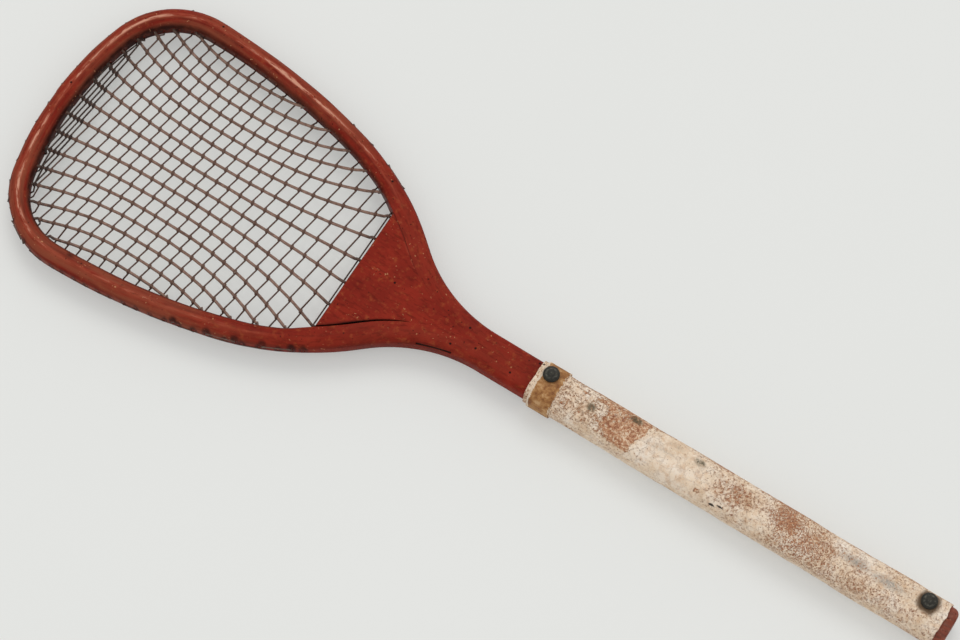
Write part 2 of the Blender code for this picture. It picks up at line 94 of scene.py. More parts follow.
CROSS_PITCH_THROAT = 10.5 * MM
CROSS_SLOPE = math.tan(math.radians(2.7))
TREBLE_RADIUS = 0.4 * MM
THROAT_RADIUS = 0.75 * MM
HOLE_ROW = 1.9 * MM
ROW_REACH = 9 * MM
HOLE_LEAD = 2.0 * MM
HALF_STRIP = STRIP_WIDTH / 2
LEG_Y = HALF_STRIP + CLEARANCE / 2
WOOD_HALF_WIDTH = 2 * HALF_STRIP + CLEARANCE / 2 - SHAFT_TRIM
WOOD_HALF_DEPTH = STRIP_DEPTH / 2 + CLEARANCE + CHEEK_THICKNESS
SLEEVE_GAP = CLEARANCE + SLEEVE_WALL
GRIP_HALF_DEPTH = WOOD_HALF_DEPTH + SLEEVE_GAP
COLLAR_PROUD = CLEARANCE + COLLAR_WALL
LOOP_PROUD = CLEARANCE + 2 * MAIN_RADIUS
MID_Z = GRIP_HALF_DEPTH + COLLAR_PROUD
HEAD_X = (LOOP_PROUD - LENGTH) / 2
BUTT_X = LENGTH - LOOP_PROUD
GRIP_END = LENGTH - BUTT_SHOWN
TACK_LOWER = LENGTH - TACK_TAIL
SHAFT_FULL = COLLAR_START - SHAFT_LEAD

# Strings as they are shown: the fine ones by the head end, the throat string's place, and each kind's
# radius and unevenness
TREBLE_COUNT = 4
TREBLE_START = 17.4 * MM
TREBLE_PITCH = 2.8 * MM
THROAT_STRING = 234.8 * MM
STRING_SHOWN = {"main": 1.02 * MM, "cross": 0.58 * MM, "treble": 0.6 * MM, "throat": 0.55 * MM}
STRING_UNEVEN = {"main": 0.10, "cross": 0.14, "treble": 0.16, "throat": 0.08}
STRING_LUMPS = 230.0

# Points on the strip's walls, and how the strings find them, pass through and lie along the outside
WALL_STEP = 0.5 * MM
SEEK_STEP = 0.2 * MM
WAY_STEPS = 20
HOLE_OVERRUN = 4 * MM
END_PROUD = 0.1 * MM
MAIN_SUNK = 0.6 * MM
CROSS_SUNK = 0.1 * MM
LOOP_STRIDE = 4

# Runs of the mains, and the turns of a cross round each: angles in degrees, pitch in radii of the cross
MAIN_POINT_STEP = 2.0 * MM
MAIN_SWAY = 0.25 * MM
MAIN_STOP = 3 * MM
HEAD_BOUND = (9 * MM, 14 * MM)
THROAT_BOUND = (THROAT_STRING - 9 * MM, 6 * MM)
THROAT_BEND = (130, 90, 50, 15, -15)
MEET_TRIES = 8
TURN_STEPS = 14
TURN_START = 180
TURN_SWEEP = 540
TURN_PITCH = 2.2
TURN_PITCH_SWING = 0.5
TURN_BITE = 0.25

# Joints, cracks and uneven faces of the wood; a swell is (height, waves, turn)
JOINT_CLOSED = 0.4 * CLEARANCE
JOINT_EDGE = 0.06 * MM
WEDGE_INSET = 0.06 * MM
WALL_MARGIN = 2 * MM
WEDGE_LIP = 1.2 * MM
WEDGE_LIP_DROP = 0.9 * MM
WEDGE_LUMP = 0.04 * MM
SEAM_DROP = 0.22 * MM
CRACK_START = 226 * MM
CRACK_RUN = 63 * MM
CRACK_END = 292 * MM
CRACK_WIDTH = 1.9 * MM
CRACK_DROP = 0.3 * MM
SPLIT_ENDS = (296 * MM, 320 * MM)
SPLIT_INSET = 1.25 * MM
SPLIT_HEIGHT = 5.6 * MM
SPLIT_RADIUS = 0.9 * MM
STRIP_LUMP = 0.12 * MM
STRIP_SWELLS = ((0.10 * MM, 61, 1), (0.06 * MM, 143, 2))
CHEEK_SEAT = STRIP_DEPTH / 2 + 0.02 * MM

# Wear, dirt, painted highlight and painted shade of the wood: lines across the strip, fades as (start, run),
# and marks like the grip's
CREST_LINE = 0.4 * MM
CREST_HALF = 1.7 * MM
DARK_BAND_LINE = -2.3 * MM
DARK_BAND_HALF = 0.9 * MM
OUTER_SIDE = 2.5 * MM
SPLIT_SIDE = 4.2 * MM
JOINT_SIDE = -HALF_STRIP - 0.11 * MM
TOP_FACE = (5.2 * MM, 3.2 * MM)
LOW_FACE = (1 * MM, 5 * MM)
INNER_WALL = (3.8 * MM, 2.4 * MM)
OUTER_WALL = (5.6 * MM, 1.2 * MM)
MOUTH_RIM = (1.5 * MM, 2.4 * MM)
OUTLET_RIM = (1.6 * MM, 1.8 * MM)
WIDER_RIM = 0.7 * MM
DARK_BAND_END = (200 * MM, 40 * MM)
HEAD_END = (30 * MM, 30 * MM)
HEAD_BEND = (45 * MM, 45 * MM)
FAR_HIGHLIGHT_END = (212 * MM, 40 * MM)
NEAR_HIGHLIGHT_END = (190 * MM, 40 * MM)
INNER_DIRT_AND_SHADE_END = (WEDGE_EDGE - 6 * MM, 6 * MM)
LUMPS_END = (WEDGE_EDGE, 40 * MM)
SHAFT_DIRT_AND_SHADE = (WEDGE_EDGE, 50 * MM)
AGE_END = (150 * MM, 80 * MM)
BUTT_CLEAN = (664 * MM, 6 * MM)
BUTT_RUBBED = (669 * MM, 5 * MM)
SEAM_END = (252 * MM, 32 * MM)
SEAM_SLOPE = 0.6 * MM
SEAM_DIRT = 0.5 * MM
SEAM_RUB = 0.9 * MM
SEAM_RUB_HALF = 0.8 * MM
CRACK_SLOPE = 0.7 * MM
CRACK_SHADE = (0.1 * MM, 0.5 * MM)
LEVEL_EDGE = 3 * MM
LIP_DIRT = (WEDGE_EDGE, 3 * MM)
BARE_END = 2 * MM
DARK_RIM_HOLES = (150 * MM, 262 * MM)
OUTLET_SQUASH = Vector((1.0, 1.0, 0.42))
WORN_THROUGH = (0.9, 76, -91, 5, 3)
SPLIT_SHADE = (0.8, 307, 5.2, 17, 3.4)
CHEEK_WEAR = 0.35
CHEEK_GRIME = 0.3
PIN_RADIUS = 0.85 * MM

# Nail holes and pits in the top of the wood, as (x, y) in millimetres
PIN_HOLES = (
    (323, 6), (333.5, -4), (361, -6), (374, 9.6), (225, 65), (6.5, 10), (69, 98), (265, 6), (318, -10),
)

# Leather: its cut edge, its lumps as (height, lumps a metre, depth), and how far it lies below the CAD's
# face so that the lumps stay inside
HEM = 1.1 * MM
SLEEVE_SUNK = 0.15 * MM
SLEEVE_LUMPS = ((0.16 * MM, 85, 4), (0.1 * MM, 330, 2))
SLEEVE_HOLLOWS = 0.42 * MM
TORN_DEPTH = 0.3 * MM
SLEEVE_FRAY = 10 * MM
HOLLOWS_START = (396 * MM, 14 * MM)
HOLLOWS_STOP = 20 * MM
COLLAR_SUNK = 0.1 * MM
COLLAR_FRAY = 5 * MM
COLLAR_RUBBED = (3.2 * MM, 2.4 * MM)
COLLAR_LUMP = 0.1 * MM

# Marks on the grip, as (strength, x, y, reach along, reach across) with the lengths in millimetres, and
# fades as (start, run)
KEPT_SKIN = (0.30, 424, 3, 7, 6)
TORN_PATCHES = ((0.66, 399, 15.5, 7, 3), (0.56, 402, -5, 9, 7), (0.62, 409, 8, 6, 4))
TORN_SPOT = (0.62, 503, -10.5, 6, 4)
WHOLE_SKIN = (1.0, 484, -2, 46, 30)
DENSE_FLAKES = ((1.0, 560, 5, 24, 17), (0.8, 585, -4, 22, 18))
BARE_PATCHES = (
    (0.14, 526, 1, 24, 13), (0.06, 622, -9, 36, 8), (0.07, 622, 15.5, 26, 3.5), (0.05, 400, -1, 15, 18),
)
SPRINKLE_PATCHES = ((0.03, 625, -9, 36, 8), (-0.06, 628, 3, 30, 8))
SMOKE_PATCHES = ((0.8, 612, 3, 16, 5), (0.9, 636, 2, 18, 5), (0.3, 470, 1, 18, 4), (0.35, 478, 8, 10, 3))
MOULD_PATCHES = (
    (1.0, 418, 1, 4.5, 4.0), (1.0, 447, 9.5, 7, 4), (1.0, 496, 6.5, 5.5, 3.4), (0.8, 412, 15, 4, 2.5),
)
INK_PATCHES = (
    (0.78, 516, -12.6, 5, 1.3), (0.76, 521.5, -11.4, 6, 1.2),
    (0.75, 377, 9.6, 1.7, 1.7), (0.6, 650, -6.5, 1.8, 1.8),
)
SMOKE_STRENGTH = 1.4
MOULD_STRENGTH = 1.9
TORN_HEAD = ((394 * MM, 4 * MM), (424 * MM, 6 * MM))
TORN_RIM = ((392 * MM, 6 * MM), (466 * MM, 10 * MM))
FAR_RIM = 10.5 * MM
FAR_RIM_TORN = 2.5 * MM
FAR_RIM_BARE = 3 * MM
LOWER_GRIP = (545 * MM, 20 * MM)
BUTT_GRIP = (590 * MM, 20 * MM)
GRIP_TOP = (-6 * MM, 10 * MM)
TACK_STAIN_HALF = (7.3 * MM, 7.6 * MM)
TACK_STAIN_SHIFT = 0.4 * MM

# Iron tacks
TACK_SUNK = 0.15 * MM
TACK_DENT = 0.13 * MM
TACK_RIPPLE = 0.12 * MM
TACK_EDGE = 0.15 * MM
SHANK_RADIUS = 1.1 * MM
SHANK_TAPER = 9 * MM
SHANK_LENGTH = 12 * MM
SHANK_POINT = 0.02 * MM
TACK_REST = 0.05 * MM

# Fineness of the meshes
HOOP_STEP = 1.2 * MM
CORNER_STEPS = 7
LEG_STATIONS = 150
BUTT_STEPS = 6
BORE_SIDES = 14
STRING_SIDES = 8
THROAT_POINTS = 60
WEDGE_COLUMNS = 44
WEDGE_LIP_ROWS = 5
WEDGE_ROWS = 70
GRIP_POINTS = 112
GRIP_ROWS = 300
COLLAR_ROWS = 26
CHEEK_ROWS = 30
CHEEK_BUTT_STEPS = 8
CHEEK_SIDE_STEPS = 6
DOME_STEPS = 14
TACK_SIDES = 56


def place(x, y, z=0.0):
    """Point of the racket in the CAD frame."""
    return Vector((x + HEAD_X, y, z + MID_Z))


def ease(t):
    t = min(max(t, 0.0), 1.0)
    return t * t * (3 - 2 * t)


def past(value, start, run):
    """0 up to a start, rising smoothly to 1 at the end of a run."""
    return ease((value - start) / run)


def short_of(value, start, run):
    """1 up to a start, falling smoothly to 0 at the end of a run."""
    return 1 - ease((value - start) / run)


def mix(a, b, t):
    return a + (b - a) * t


def wave(x, y, z, scale, depth=3):
    """Smooth noise between about -1 and 1 at a number of lumps a metre."""
    return noise.fractal(Vector((x, y, z)) * scale, 1.0, 2.0, depth, noise_basis="PERLIN_ORIGINAL")


def patch(x, y, mark):
    """Soft mark, given as (strength, x, y, reach, reach): its strength in the middle and 0 at its reach."""
    strength, at_x, at_y, reach_x, reach_y = mark
    far = math.hypot((x - at_x * MM) / (reach_x * MM), (y - at_y * MM) / (reach_y * MM))
    return strength * (1 - ease(far))


def strongest(x, y, marks):
    return max(patch(x, y, mark) for mark in marks)


def total(x, y, marks):
    return sum(patch(x, y, mark) for mark in marks)


# Path of the bent strip

def hoop_half(step):
    """Stations (x, y, heading, length) down one side, from the head end to the straight leg."""
    stations = []
    x, y, heading, length = HALF_STRIP, 0.0, math.pi / 2, 0.0

    def go(run, turn=0.0):
        """Follow an arc or a straight line in chords of about a step."""
        nonlocal x, y, heading, length
        steps = max(2, round(run / step))
        part = turn / steps
        chord = run / steps * (math.sin(part / 2) / (part / 2) if part else 1.0)
        for _ in range(steps):
            stations.append((x, y, heading, length))
            x += chord * math.cos(heading + part / 2)
            y += chord * math.sin(heading + part / 2)
            heading += part
            length += chord

    for radius, sweep in HOOP_ARCS:
        go(radius * math.radians(sweep), -math.radians(sweep))
    turn = -heading
    go((y - LEG_Y - SHOULDER_RADIUS * (1 - math.cos(turn))) / math.sin(turn))
    go(SHOULDER_RADIUS * turn, turn)
    stations.append((x, LEG_Y, 0.0, length))
    return stations


def hoop_walls():
    """Close points on the strip's middle line and their outward normals, both sides of the head."""
    half = hoop_half(WALL_STEP)
    right = np.array([(x, y) for x, y, _, _ in half])
    normals = np.array([(-math.sin(h), math.cos(h)) for _, _, h, _ in half])
    flip = np.array((1.0, -1.0))
    return np.vstack((right[:0:-1] * flip, right)), np.vstack((normals[:0:-1] * flip, normals))


MIDDLE, OUTWARD = hoop_walls()


def nearest(point):
    """Index of the closest point on the middle line."""
    return int(np.argmin(((MIDDLE - point) ** 2).sum(axis=1)))


def opening(point):
    """Distance from a point inside the head to the strip's wall."""
    return float(np.sqrt(((MIDDLE - point) ** 2).sum(axis=1).min())) - HALF_STRIP


# Mesh helpers

def link(name, data):
    """New object in the scene."""
    obj = bpy.data.objects.new(name, data)
    bpy.context.scene.collection.objects.link(obj)
    return obj


def skin_faces(rows, count, capped=True, base=0):
    """Faces of a skin through rings of equal point counts, numbered from a base."""
    faces = []
    for r in range(rows - 1):
        a, b = base + r * count, base + (r + 1) * count
        for k in range(count):
            n = (k + 1) % count
            faces.append((a + k, a + n, b + n, b + k))
    if capped:
        faces.append(tuple(base + k for k in reversed(range(count))))
        faces.append(tuple(base + (rows - 1) * count + k for k in range(count)))
    return faces


def add(name, mesh, *materials, angle=40.0):
    """Link a finished mesh, outside out and smooth across its soft edges."""
    obj = link(name, mesh)
    for material in materials:
        mesh.materials.append(material)
    bpy.context.view_layer.objects.active = obj
    obj.select_set(True)
    bpy.ops.object.mode_set(mode="EDIT")
    bpy.ops.mesh.select_all(action="SELECT")
    bpy.ops.mesh.normals_make_consistent(inside=False)
    bpy.ops.object.mode_set(mode="OBJECT")
    obj.select_set(False)
    mesh.shade_smooth()
    mesh.set_sharp_from_angle(angle=math.radians(angle))
    return obj


class Skin:
    """Rings of points for one piece, with marks at every point."""

    def __init__(self):
        self.rings, self.marks = [], {}

    def ring(self):
        self.rings.append([])

    def point(self, spot, **marks):
        self.rings[-1].append(spot)
        for key, value in marks.items():
            self.marks.setdefault(key, []).append(value)

    def piece(self, name, *materials, capped=True, angle=40.0):
        mesh = bpy.data.meshes.new(name)
        faces = skin_faces(len(self.rings), len(self.rings[0]), capped)
        mesh.from_pydata([p for ring in self.rings for p in ring], [], faces)
        for key, values in self.marks.items():
            values = np.array(values, dtype=float)
            kind, field = ("FLOAT_VECTOR", "vector") if values.ndim == 2 else ("FLOAT", "value")
            mesh.attributes.new(key, kind, "POINT").data.foreach_set(field, values.ravel())
        mesh.update()
        return add(name, mesh, *materials, angle=angle)


def settle(obj):
    """Swap an object's live modifiers for the plain mesh that they make."""
    name = obj.name
    mesh = bpy.data.meshes.new_from_object(obj.evaluated_get(bpy.context.evaluated_depsgraph_get()))
    bpy.data.objects.remove(obj, do_unlink=True)
    mesh.name = name
    return link(name, mesh)


# Colours of the finishes, and tones as (place on the ramp, colour)
AGED_RED = (0.25, 0.066, 0.034)
HIGHLIGHT_AND_RUBBED_RED = (0.36, 0.075, 0.040)
HIGHLIGHT_AND_BARE_ASH = (0.66, 0.33, 0.225)
WOOD_GRIME_AND_SHADE = (0.022, 0.007, 0.006)
WOOD_SPECK = (0.55, 0.27, 0.13)
WOOD_PIT = (0.022, 0.006, 0.005)
BORE_SHADE_TONES = ((0.3, (0.012, 0.004, 0.003)), (0.7, (0.05, 0.014, 0.01)))
GUT_SPECK = (0.42, 0.33, 0.26)
SKIN_TONES = ((0.3, (0.70, 0.51, 0.335)), (0.47, (0.85, 0.68, 0.505)), (0.7, (0.90, 0.79, 0.665)))
SKIN_CHALK = (0.93, 0.87, 0.78)
SKIN_WARM = (0.66, 0.415, 0.245)
SKIN_CRACK = (0.40, 0.29, 0.215)
SKIN_BLUSH = (0.70, 0.44, 0.275)
UNDER_TONES = ((0.36, (0.17, 0.050, 0.022)), (0.5, (0.36, 0.128, 0.055)), (0.64, (0.61, 0.32, 0.165)))
TORN_TONES = (
    (0.40, (0.25, 0.076, 0.032)), (0.47, (0.46, 0.19, 0.088)),
    (0.54, (0.61, 0.355, 0.20)), (0.61, (0.86, 0.69, 0.51)),
)
SMOKE_GREY = (0.23, 0.225, 0.21)
MOULD_GREEN = (0.10, 0.082, 0.045)
TACK_STAIN = (0.09, 0.047, 0.02)
INK_BLACK = (0.02, 0.013, 0.01)
SKIN_FLECK = (0.13, 0.055, 0.03)
COLLAR_TONES = ((0.38, (0.20, 0.072, 0.02)), (0.5, (0.36, 0.165, 0.052)), (0.63, (0.54, 0.325, 0.155)))
COLLAR_EDGE = (0.74, 0.61, 0.47)
COLLAR_DIRT = (0.10, 0.055, 0.025)
COLLAR_FLECK = (0.17, 0.08, 0.03)
IRON_TONES = ((0.32, (0.009, 0.008, 0.006)), (0.55, (0.024, 0.022, 0.017)), (0.75, (0.058, 0.05, 0.032)))
IRON_RUBBED_AND_GLINT = (0.115, 0.108, 0.085)


# Materials

class Nodes:
    """A node tree and short ways to add to it."""

    def __init__(self, tree):
        self.tree = tree

    def feed(self, node, inputs):
        """Set a node's inputs or link them to other nodes' outputs; None leaves an input alone."""
        for key, value in inputs.items():
            socket = node.inputs[key]
            if isinstance(value, bpy.types.NodeSocket):
                self.tree.links.new(value, socket)
            elif value is not None:
                socket.default_value = (*value, 1.0) if socket.type == "RGBA" else value

    def node(self, kind, output=0, inputs=None, **settings):
        """One output of a new node."""
        node = self.tree.nodes.new(kind)
        for key, value in settings.items():
            setattr(node, key, value)
        self.feed(node, inputs or {})
        return node.outputs[output]

    def math(self, operation, a, b, c=None):
        return self.node("ShaderNodeMath", 0, {0: a, 1: b, 2: c}, operation=operation)

    def times(self, a, b):
        return self.math("MULTIPLY", a, b)

    def plus(self, a, b):
        return self.math("ADD", a, b)

    def seen(self):
        """1 for what the camera sees, straight or in a reflection."""
        rays = self.tree.nodes.new("ShaderNodeLightPath").outputs
        return self.math("MAXIMUM", rays["Is Camera Ray"], rays["Is Glossy Ray"])

    def show(self, end, share, shader):
        """Mix a shader into what the end node shows."""
        end = self.tree.nodes[end]
        shown = end.inputs["Surface"].links[0].from_socket
        self.feed(end, {"Surface": self.node("ShaderNodeMixShader", 0, {0: share, 1: shown, 2: shader})})


class Paint(Nodes):
    """A Principled material and short ways to add the nodes that feed it."""

    def __init__(self, name):
        self.material = bpy.data.materials.new(name)
        self.material.use_nodes = True
        super().__init__(self.material.node_tree)

    def attribute(self, name, output="Fac"):
        return self.node("ShaderNodeAttribute", output, attribute_name=name)

    def place(self):
        return self.node("ShaderNodeTexCoord", "Object")

    def stretch(self, vector, scale):
        return self.node("ShaderNodeVectorMath", 0, {0: vector, 1: scale}, operation="MULTIPLY")

    def shift(self, vector, other):
        return self.node("ShaderNodeVectorMath", 0, {0: vector, 1: other}, operation="ADD")

    def noise(self, vector, scale, detail=4.0, rough=0.55, warp=0.0, output="Fac"):
        return self.node("ShaderNodeTexNoise", output, {
            "Vector": vector, "Scale": scale, "Detail": detail, "Roughness": rough, "Distortion": warp,
        })

    def span(self, value, low, high, to_low=0.0, to_high=1.0):
        return self.node("ShaderNodeMapRange", 0, {
            "Value": value, "From Min": low, "From Max": high, "To Min": to_low, "To Max": to_high,
        }, interpolation_type="SMOOTHSTEP")

    def ramp(self, value, *stops):
        node = self.tree.nodes.new("ShaderNodeValToRGB")
        self.feed(node, {0: value})
        elements = node.color_ramp.elements
        while len(elements) < len(stops):
            elements.new(0.5)
        for element, (position, color) in zip(elements, stops):
            element.position = position
            element.color = (*color, 1.0)
        return node.outputs[0]

    def blend(self, share, a, b):
        return self.node("ShaderNodeMix", 2, {"Factor": share, 6: a, 7: b}, data_type="RGBA")

    def coat(self, color, mask, share, tint):
        """Lay a share of a tint over a colour where a mask is."""
        return self.blend(self.times(mask, share), color, tint)

    def cracks(self, vector, scale, width):
        """Thin lines along the edges of random cells, 1 on a line."""
        far = self.node("ShaderNodeTexVoronoi", "Distance", {"Vector": vector, "Scale": scale},
                        feature="DISTANCE_TO_EDGE")
        return self.span(far, 0.0, width, 1.0, 0.0)

    def dots(self, vector, spots, radius):
        """Round marks at places (x, y) on the racket, 1 inside a mark."""
        flat = self.stretch(vector, (1.0, 1.0, 0.0))
        marks = 0.0
        for x, y in spots:
            middle = (x * MM + HEAD_X, y * MM, 0.0)
            far = self.node("ShaderNodeVectorMath", "Value", {0: flat, 1: middle}, operation="DISTANCE")
            marks = self.math("MAXIMUM", self.span(far, 0.6 * radius, 1.2 * radius, 1.0, 0.0), marks)
        return marks

    def bump(self, height, strength, distance, normal=None):
        return self.node("ShaderNodeBump", 0, {
            "Height": height, "Strength": strength, "Distance": distance, "Normal": normal,
        })

    def finish(self, color, rough, normal=None, specular=0.3, metallic=0.0):
        self.feed(self.tree.nodes["Principled BSDF"], {
            "Base Color": color, "Roughness": rough, "Normal": normal,
            "Specular IOR Level": specular, "Metallic": metallic,
        })
        return self.material


def darker(color, share):
    return tuple(share * part for part in color)


def red_wood(name, deep, bright, glow):
    """Red stain over straight-grained ash: mottled, pale along its crest from a painted highlight mixed with
    rubbing, pitted, and darkened by grime and painted shade.
    """
    p = Paint(name)
    here = p.place()
    grain = p.attribute("grain", "Vector")
    streak = p.noise(p.stretch(grain, (10, 340, 260)), 1.0, 5.0, 0.6, 0.4)
    broad = p.noise(here, 42, 5.0, 0.65)
    blotch = p.noise(p.shift(here, (0.4, 0.1, 0.7)), 230, 4.0, 0.62)
    color = p.ramp(broad, (0.32, deep), (0.68, bright))
    color = p.coat(color, p.span(streak, 0.5, 0.75), 0.3, darker(deep, 0.6))
    color = p.coat(color, p.span(blotch, 0.52, 0.72), 0.42, glow)
    grit = p.span(p.noise(p.stretch(grain, (130, 430, 360)), 1.0, 5.0, 0.7), 0.48, 0.66)
    color = p.coat(color, grit, 0.5, darker(deep, 0.5))
    faded = p.span(p.noise(p.stretch(grain, (14, 200, 160)), 1.0, 5.0, 0.65), 0.32, 0.62)
    aged = p.times(p.attribute("age"), faded)
    color = p.coat(color, aged, 0.8, AGED_RED)
    # Painted highlight on the frame's crest, mixed with the stain rubbed off; on the butt, wedge and cheeks
    # real wear
    rubbed = p.span(p.noise(p.stretch(grain, (75, 480, 420)), 1.0, 6.0, 0.7), 0.34, 0.6)
    worn_and_lit = p.times(p.attribute("wear_and_highlight"), rubbed)
    color = p.blend(p.span(worn_and_lit, 0.05, 0.5, 0.0, 0.55), color, HIGHLIGHT_AND_RUBBED_RED)
    color = p.blend(p.span(worn_and_lit, 0.42, 0.95, 0.0, 0.85), color, HIGHLIGHT_AND_BARE_ASH)
    # Real dirt and painted shade, both laid on in the same dark colour
    grime_and_shade = p.times(p.attribute("grime_and_shade"), p.span(p.noise(here, 150, 4.0, 0.6), 0.3, 0.6, 0.65, 1.0))
    color = p.coat(color, grime_and_shade, 0.92, WOOD_GRIME_AND_SHADE)
    speck = p.span(p.noise(here, 560, 2.0, 0.5), 0.675, 0.73)
    speck = p.times(speck, p.span(p.noise(here, 45, 3.0, 0.6), 0.44, 0.58))
    color = p.coat(color, speck, 0.75, WOOD_SPECK)
    pit = p.span(p.noise(p.shift(here, (3.1, 1.7, 0.4)), 430, 2.0, 0.5), 0.70, 0.74)
    pit = p.math("MAXIMUM", p.times(pit, 0.8), p.dots(here, PIN_HOLES, PIN_RADIUS))
    color = p.blend(pit, color, WOOD_PIT)
    rough = p.span(broad, 0.3, 0.7, 0.38, 0.6)
    height = p.plus(p.times(streak, 0.3), p.times(pit, -0.9))
    dimples = p.bump(p.noise(here, 170, 4.0, 0.6), 0.22, 0.8 * MM)
    return p.finish(color, rough, p.bump(height, 0.35, 0.6 * MM, dimples), 0.04)


def shaded_bore_wood(name):
    """Near-black wood inside the drilled holes and open joints: grime with painted shade."""
    p = Paint(name)
    here = p.place()
    color = p.ramp(p.noise(here, 700, 3.0, 0.6), *BORE_SHADE_TONES)
    return p.finish(color, 0.9, p.bump(p.noise(here, 1500, 3.0, 0.6), 0.5, 0.3 * MM), 0.1)


def gut(name, dark, light, tied):
    """Twisted gut: a fine lay round the string, dirt in patches and paler worn places."""
    p = Paint(name)
    here = p.place()
    strand = p.noise(p.stretch(p.attribute("lay", "Vector"), (420, 5.0, 0.0)), 1.0, 2.0, 0.5)
    dirt = p.noise(here, 95, 4.0, 0.65)
    color = p.ramp(strand, (0.3, dark), (0.7, light))
    color = p.coat(color, p.span(dirt, 0.5, 0.68), 0.5, darker(dark, 0.5))
    color = p.coat(color, p.attribute("knot"), 0.8, tied)
    speck = p.span(p.noise(here, 900, 2.0, 0.5), 0.66, 0.72)
    color = p.coat(color, speck, 0.5, GUT_SPECK)
    rough = p.span(dirt, 0.3, 0.7, 0.45, 0.7)
    return p.finish(color, rough, p.bump(strand, 0.5, 0.2 * MM), 0.3)


def flaked_leather(name):
    """Pale grip leather whose skin has flaked off in specks down to its red-brown underside."""
    p = Paint(name)
    here = p.place()
    bare = p.attribute("bare")
    fray = p.noise(here, 500, 6.0, 0.76, 0.4)
    crumb = p.noise(here, 1150, 4.0, 0.62)
    cloud = p.noise(here, 70, 5.0, 0.65)
    skin = p.ramp(cloud, *SKIN_TONES)
    skin = p.coat(skin, p.span(crumb, 0.5, 0.72), 0.5, SKIN_CHALK)
    warm = p.span(p.noise(p.shift(here, (0.9, 0.2, 0.3)), 260, 5.0, 0.7), 0.46, 0.66)
    skin = p.coat(skin, warm, 0.52, SKIN_WARM)
    wander = p.stretch(p.noise(here, 240, 3.0, 0.6, 0.0, "Color"), (6 * MM,) * 3)
    lines = p.cracks(p.shift(here, wander), 150, 0.07)
    skin = p.coat(skin, lines, p.span(cloud, 0.35, 0.6, 0.08, 0.36), SKIN_CRACK)
    blush = p.span(bare, 0.40, 0.53, 0.0, 0.6)
    skin = p.coat(skin, blush, p.span(fray, 0.38, 0.6, 1.0, 0.35), SKIN_BLUSH)
    gone = p.span(p.math("SUBTRACT", bare, fray), -0.05, 0.07)
    speckle = p.noise(p.shift(here, (0.3, 0.8, 0.1)), 900, 4.0, 0.66)
    spots = p.span(p.math("SUBTRACT", p.attribute("sprinkle"), speckle), -0.02, 0.05)
    lost = p.math("MAXIMUM", p.times(gone, 0.85), p.times(spots, 0.9))
    color = p.blend(lost, skin, p.ramp(crumb, *UNDER_TONES))
    torn = p.span(p.math("SUBTRACT", p.attribute("tan"), fray), -0.03, 0.03)
    color = p.coat(color, torn, 0.93, p.ramp(p.noise(here, 520, 6.0, 0.78), *TORN_TONES))
    smoke = p.times(p.attribute("smoke"), p.span(fray, 0.36, 0.6))
    color = p.coat(color, smoke, 0.75, SMOKE_GREY)
    mould = p.times(p.attribute("mould"), p.span(fray, 0.36, 0.54))
    color = p.coat(color, mould, 0.9, MOULD_GREEN)
    stain = p.times(p.attribute("stain"), p.span(fray, 0.2, 0.5, 0.7, 1.0))
    color = p.coat(color, stain, 0.92, TACK_STAIN)
    ink = p.span(p.math("SUBTRACT", p.attribute("ink"), fray), -0.08, 0.0)
    color = p.coat(color, ink, 0.95, INK_BLACK)
    fleck = p.span(p.noise(p.shift(here, (0.7, 2.3, 5.1)), 900, 2.0, 0.5), 0.685, 0.73)
    color = p.coat(color, fleck, 0.75, SKIN_FLECK)
    height = p.plus(p.times(lost, -0.6), p.times(torn, -0.7))
    height = p.plus(height, p.plus(p.times(crumb, 0.7), p.times(fray, 0.6)))
    normal = p.bump(p.plus(height, p.times(lines, -0.3)), 0.75, 0.6 * MM)
    return p.finish(color, p.span(lost, 0.0, 1.0, 0.72, 0.9), normal, 0.2)


def ochre_leather(name):
    """Ochre collar: smooth hide rubbed pale along its cut edges and dirtied near the tack."""
    p = Paint(name)
    here = p.place()
    cloud = p.noise(here, 150, 6.0, 0.7)
    color = p.ramp(cloud, *COLLAR_TONES)
    fray = p.noise(here, 420, 5.0, 0.7)
    edge = p.span(p.math("SUBTRACT", p.attribute("edge"), fray), -0.04, 0.05)
    color = p.coat(color, edge, 0.9, COLLAR_EDGE)
    dirt = p.times(p.attribute("stain"), p.span(fray, 0.3, 0.6))
    color = p.coat(color, dirt, 0.7, COLLAR_DIRT)
    fleck = p.span(p.noise(here, 1100, 2.0, 0.5), 0.66, 0.72)
    color = p.coat(color, fleck, 0.5, COLLAR_FLECK)
    normal = p.bump(p.plus(p.times(fray, 0.6), p.noise(here, 1300, 3.0, 0.6)), 0.4, 0.3 * MM)
    return p.finish(color, p.span(cloud, 0.3, 0.7, 0.55, 0.75), normal, 0.25)


def black_iron(name):
    """Blackened iron with grey rings, partly rubbed and partly a painted highlight, and a green-brown bloom.
    """
    p = Paint(name)
    here = p.place()
    bloom = p.noise(here, 420, 5.0, 0.65)
    color = p.ramp(bloom, *IRON_TONES)
    ring = p.attribute("ring")
    middle = p.span(ring, 0.12, 0.3, 1.0, 0.0)
    outer = p.times(p.span(ring, 0.45, 0.6), p.span(ring, 0.66, 0.8, 1.0, 0.0))
    # Grey rings on the dome: partly rubbing, partly a painted highlight
    rub = p.span(p.noise(p.shift(here, (1.3, 0.2, 0.6)), 700, 4.0, 0.65), 0.38, 0.66)
    color = p.coat(color, p.times(rub, p.math("MAXIMUM", middle, outer)), 0.8, IRON_RUBBED_AND_GLINT)
    normal = p.bump(p.plus(bloom, p.times(rub, -0.3)), 0.5, 0.4 * MM)
    return p.finish(color, p.span(bloom, 0.3, 0.7, 0.42, 0.68), normal, 0.4, 0.3)


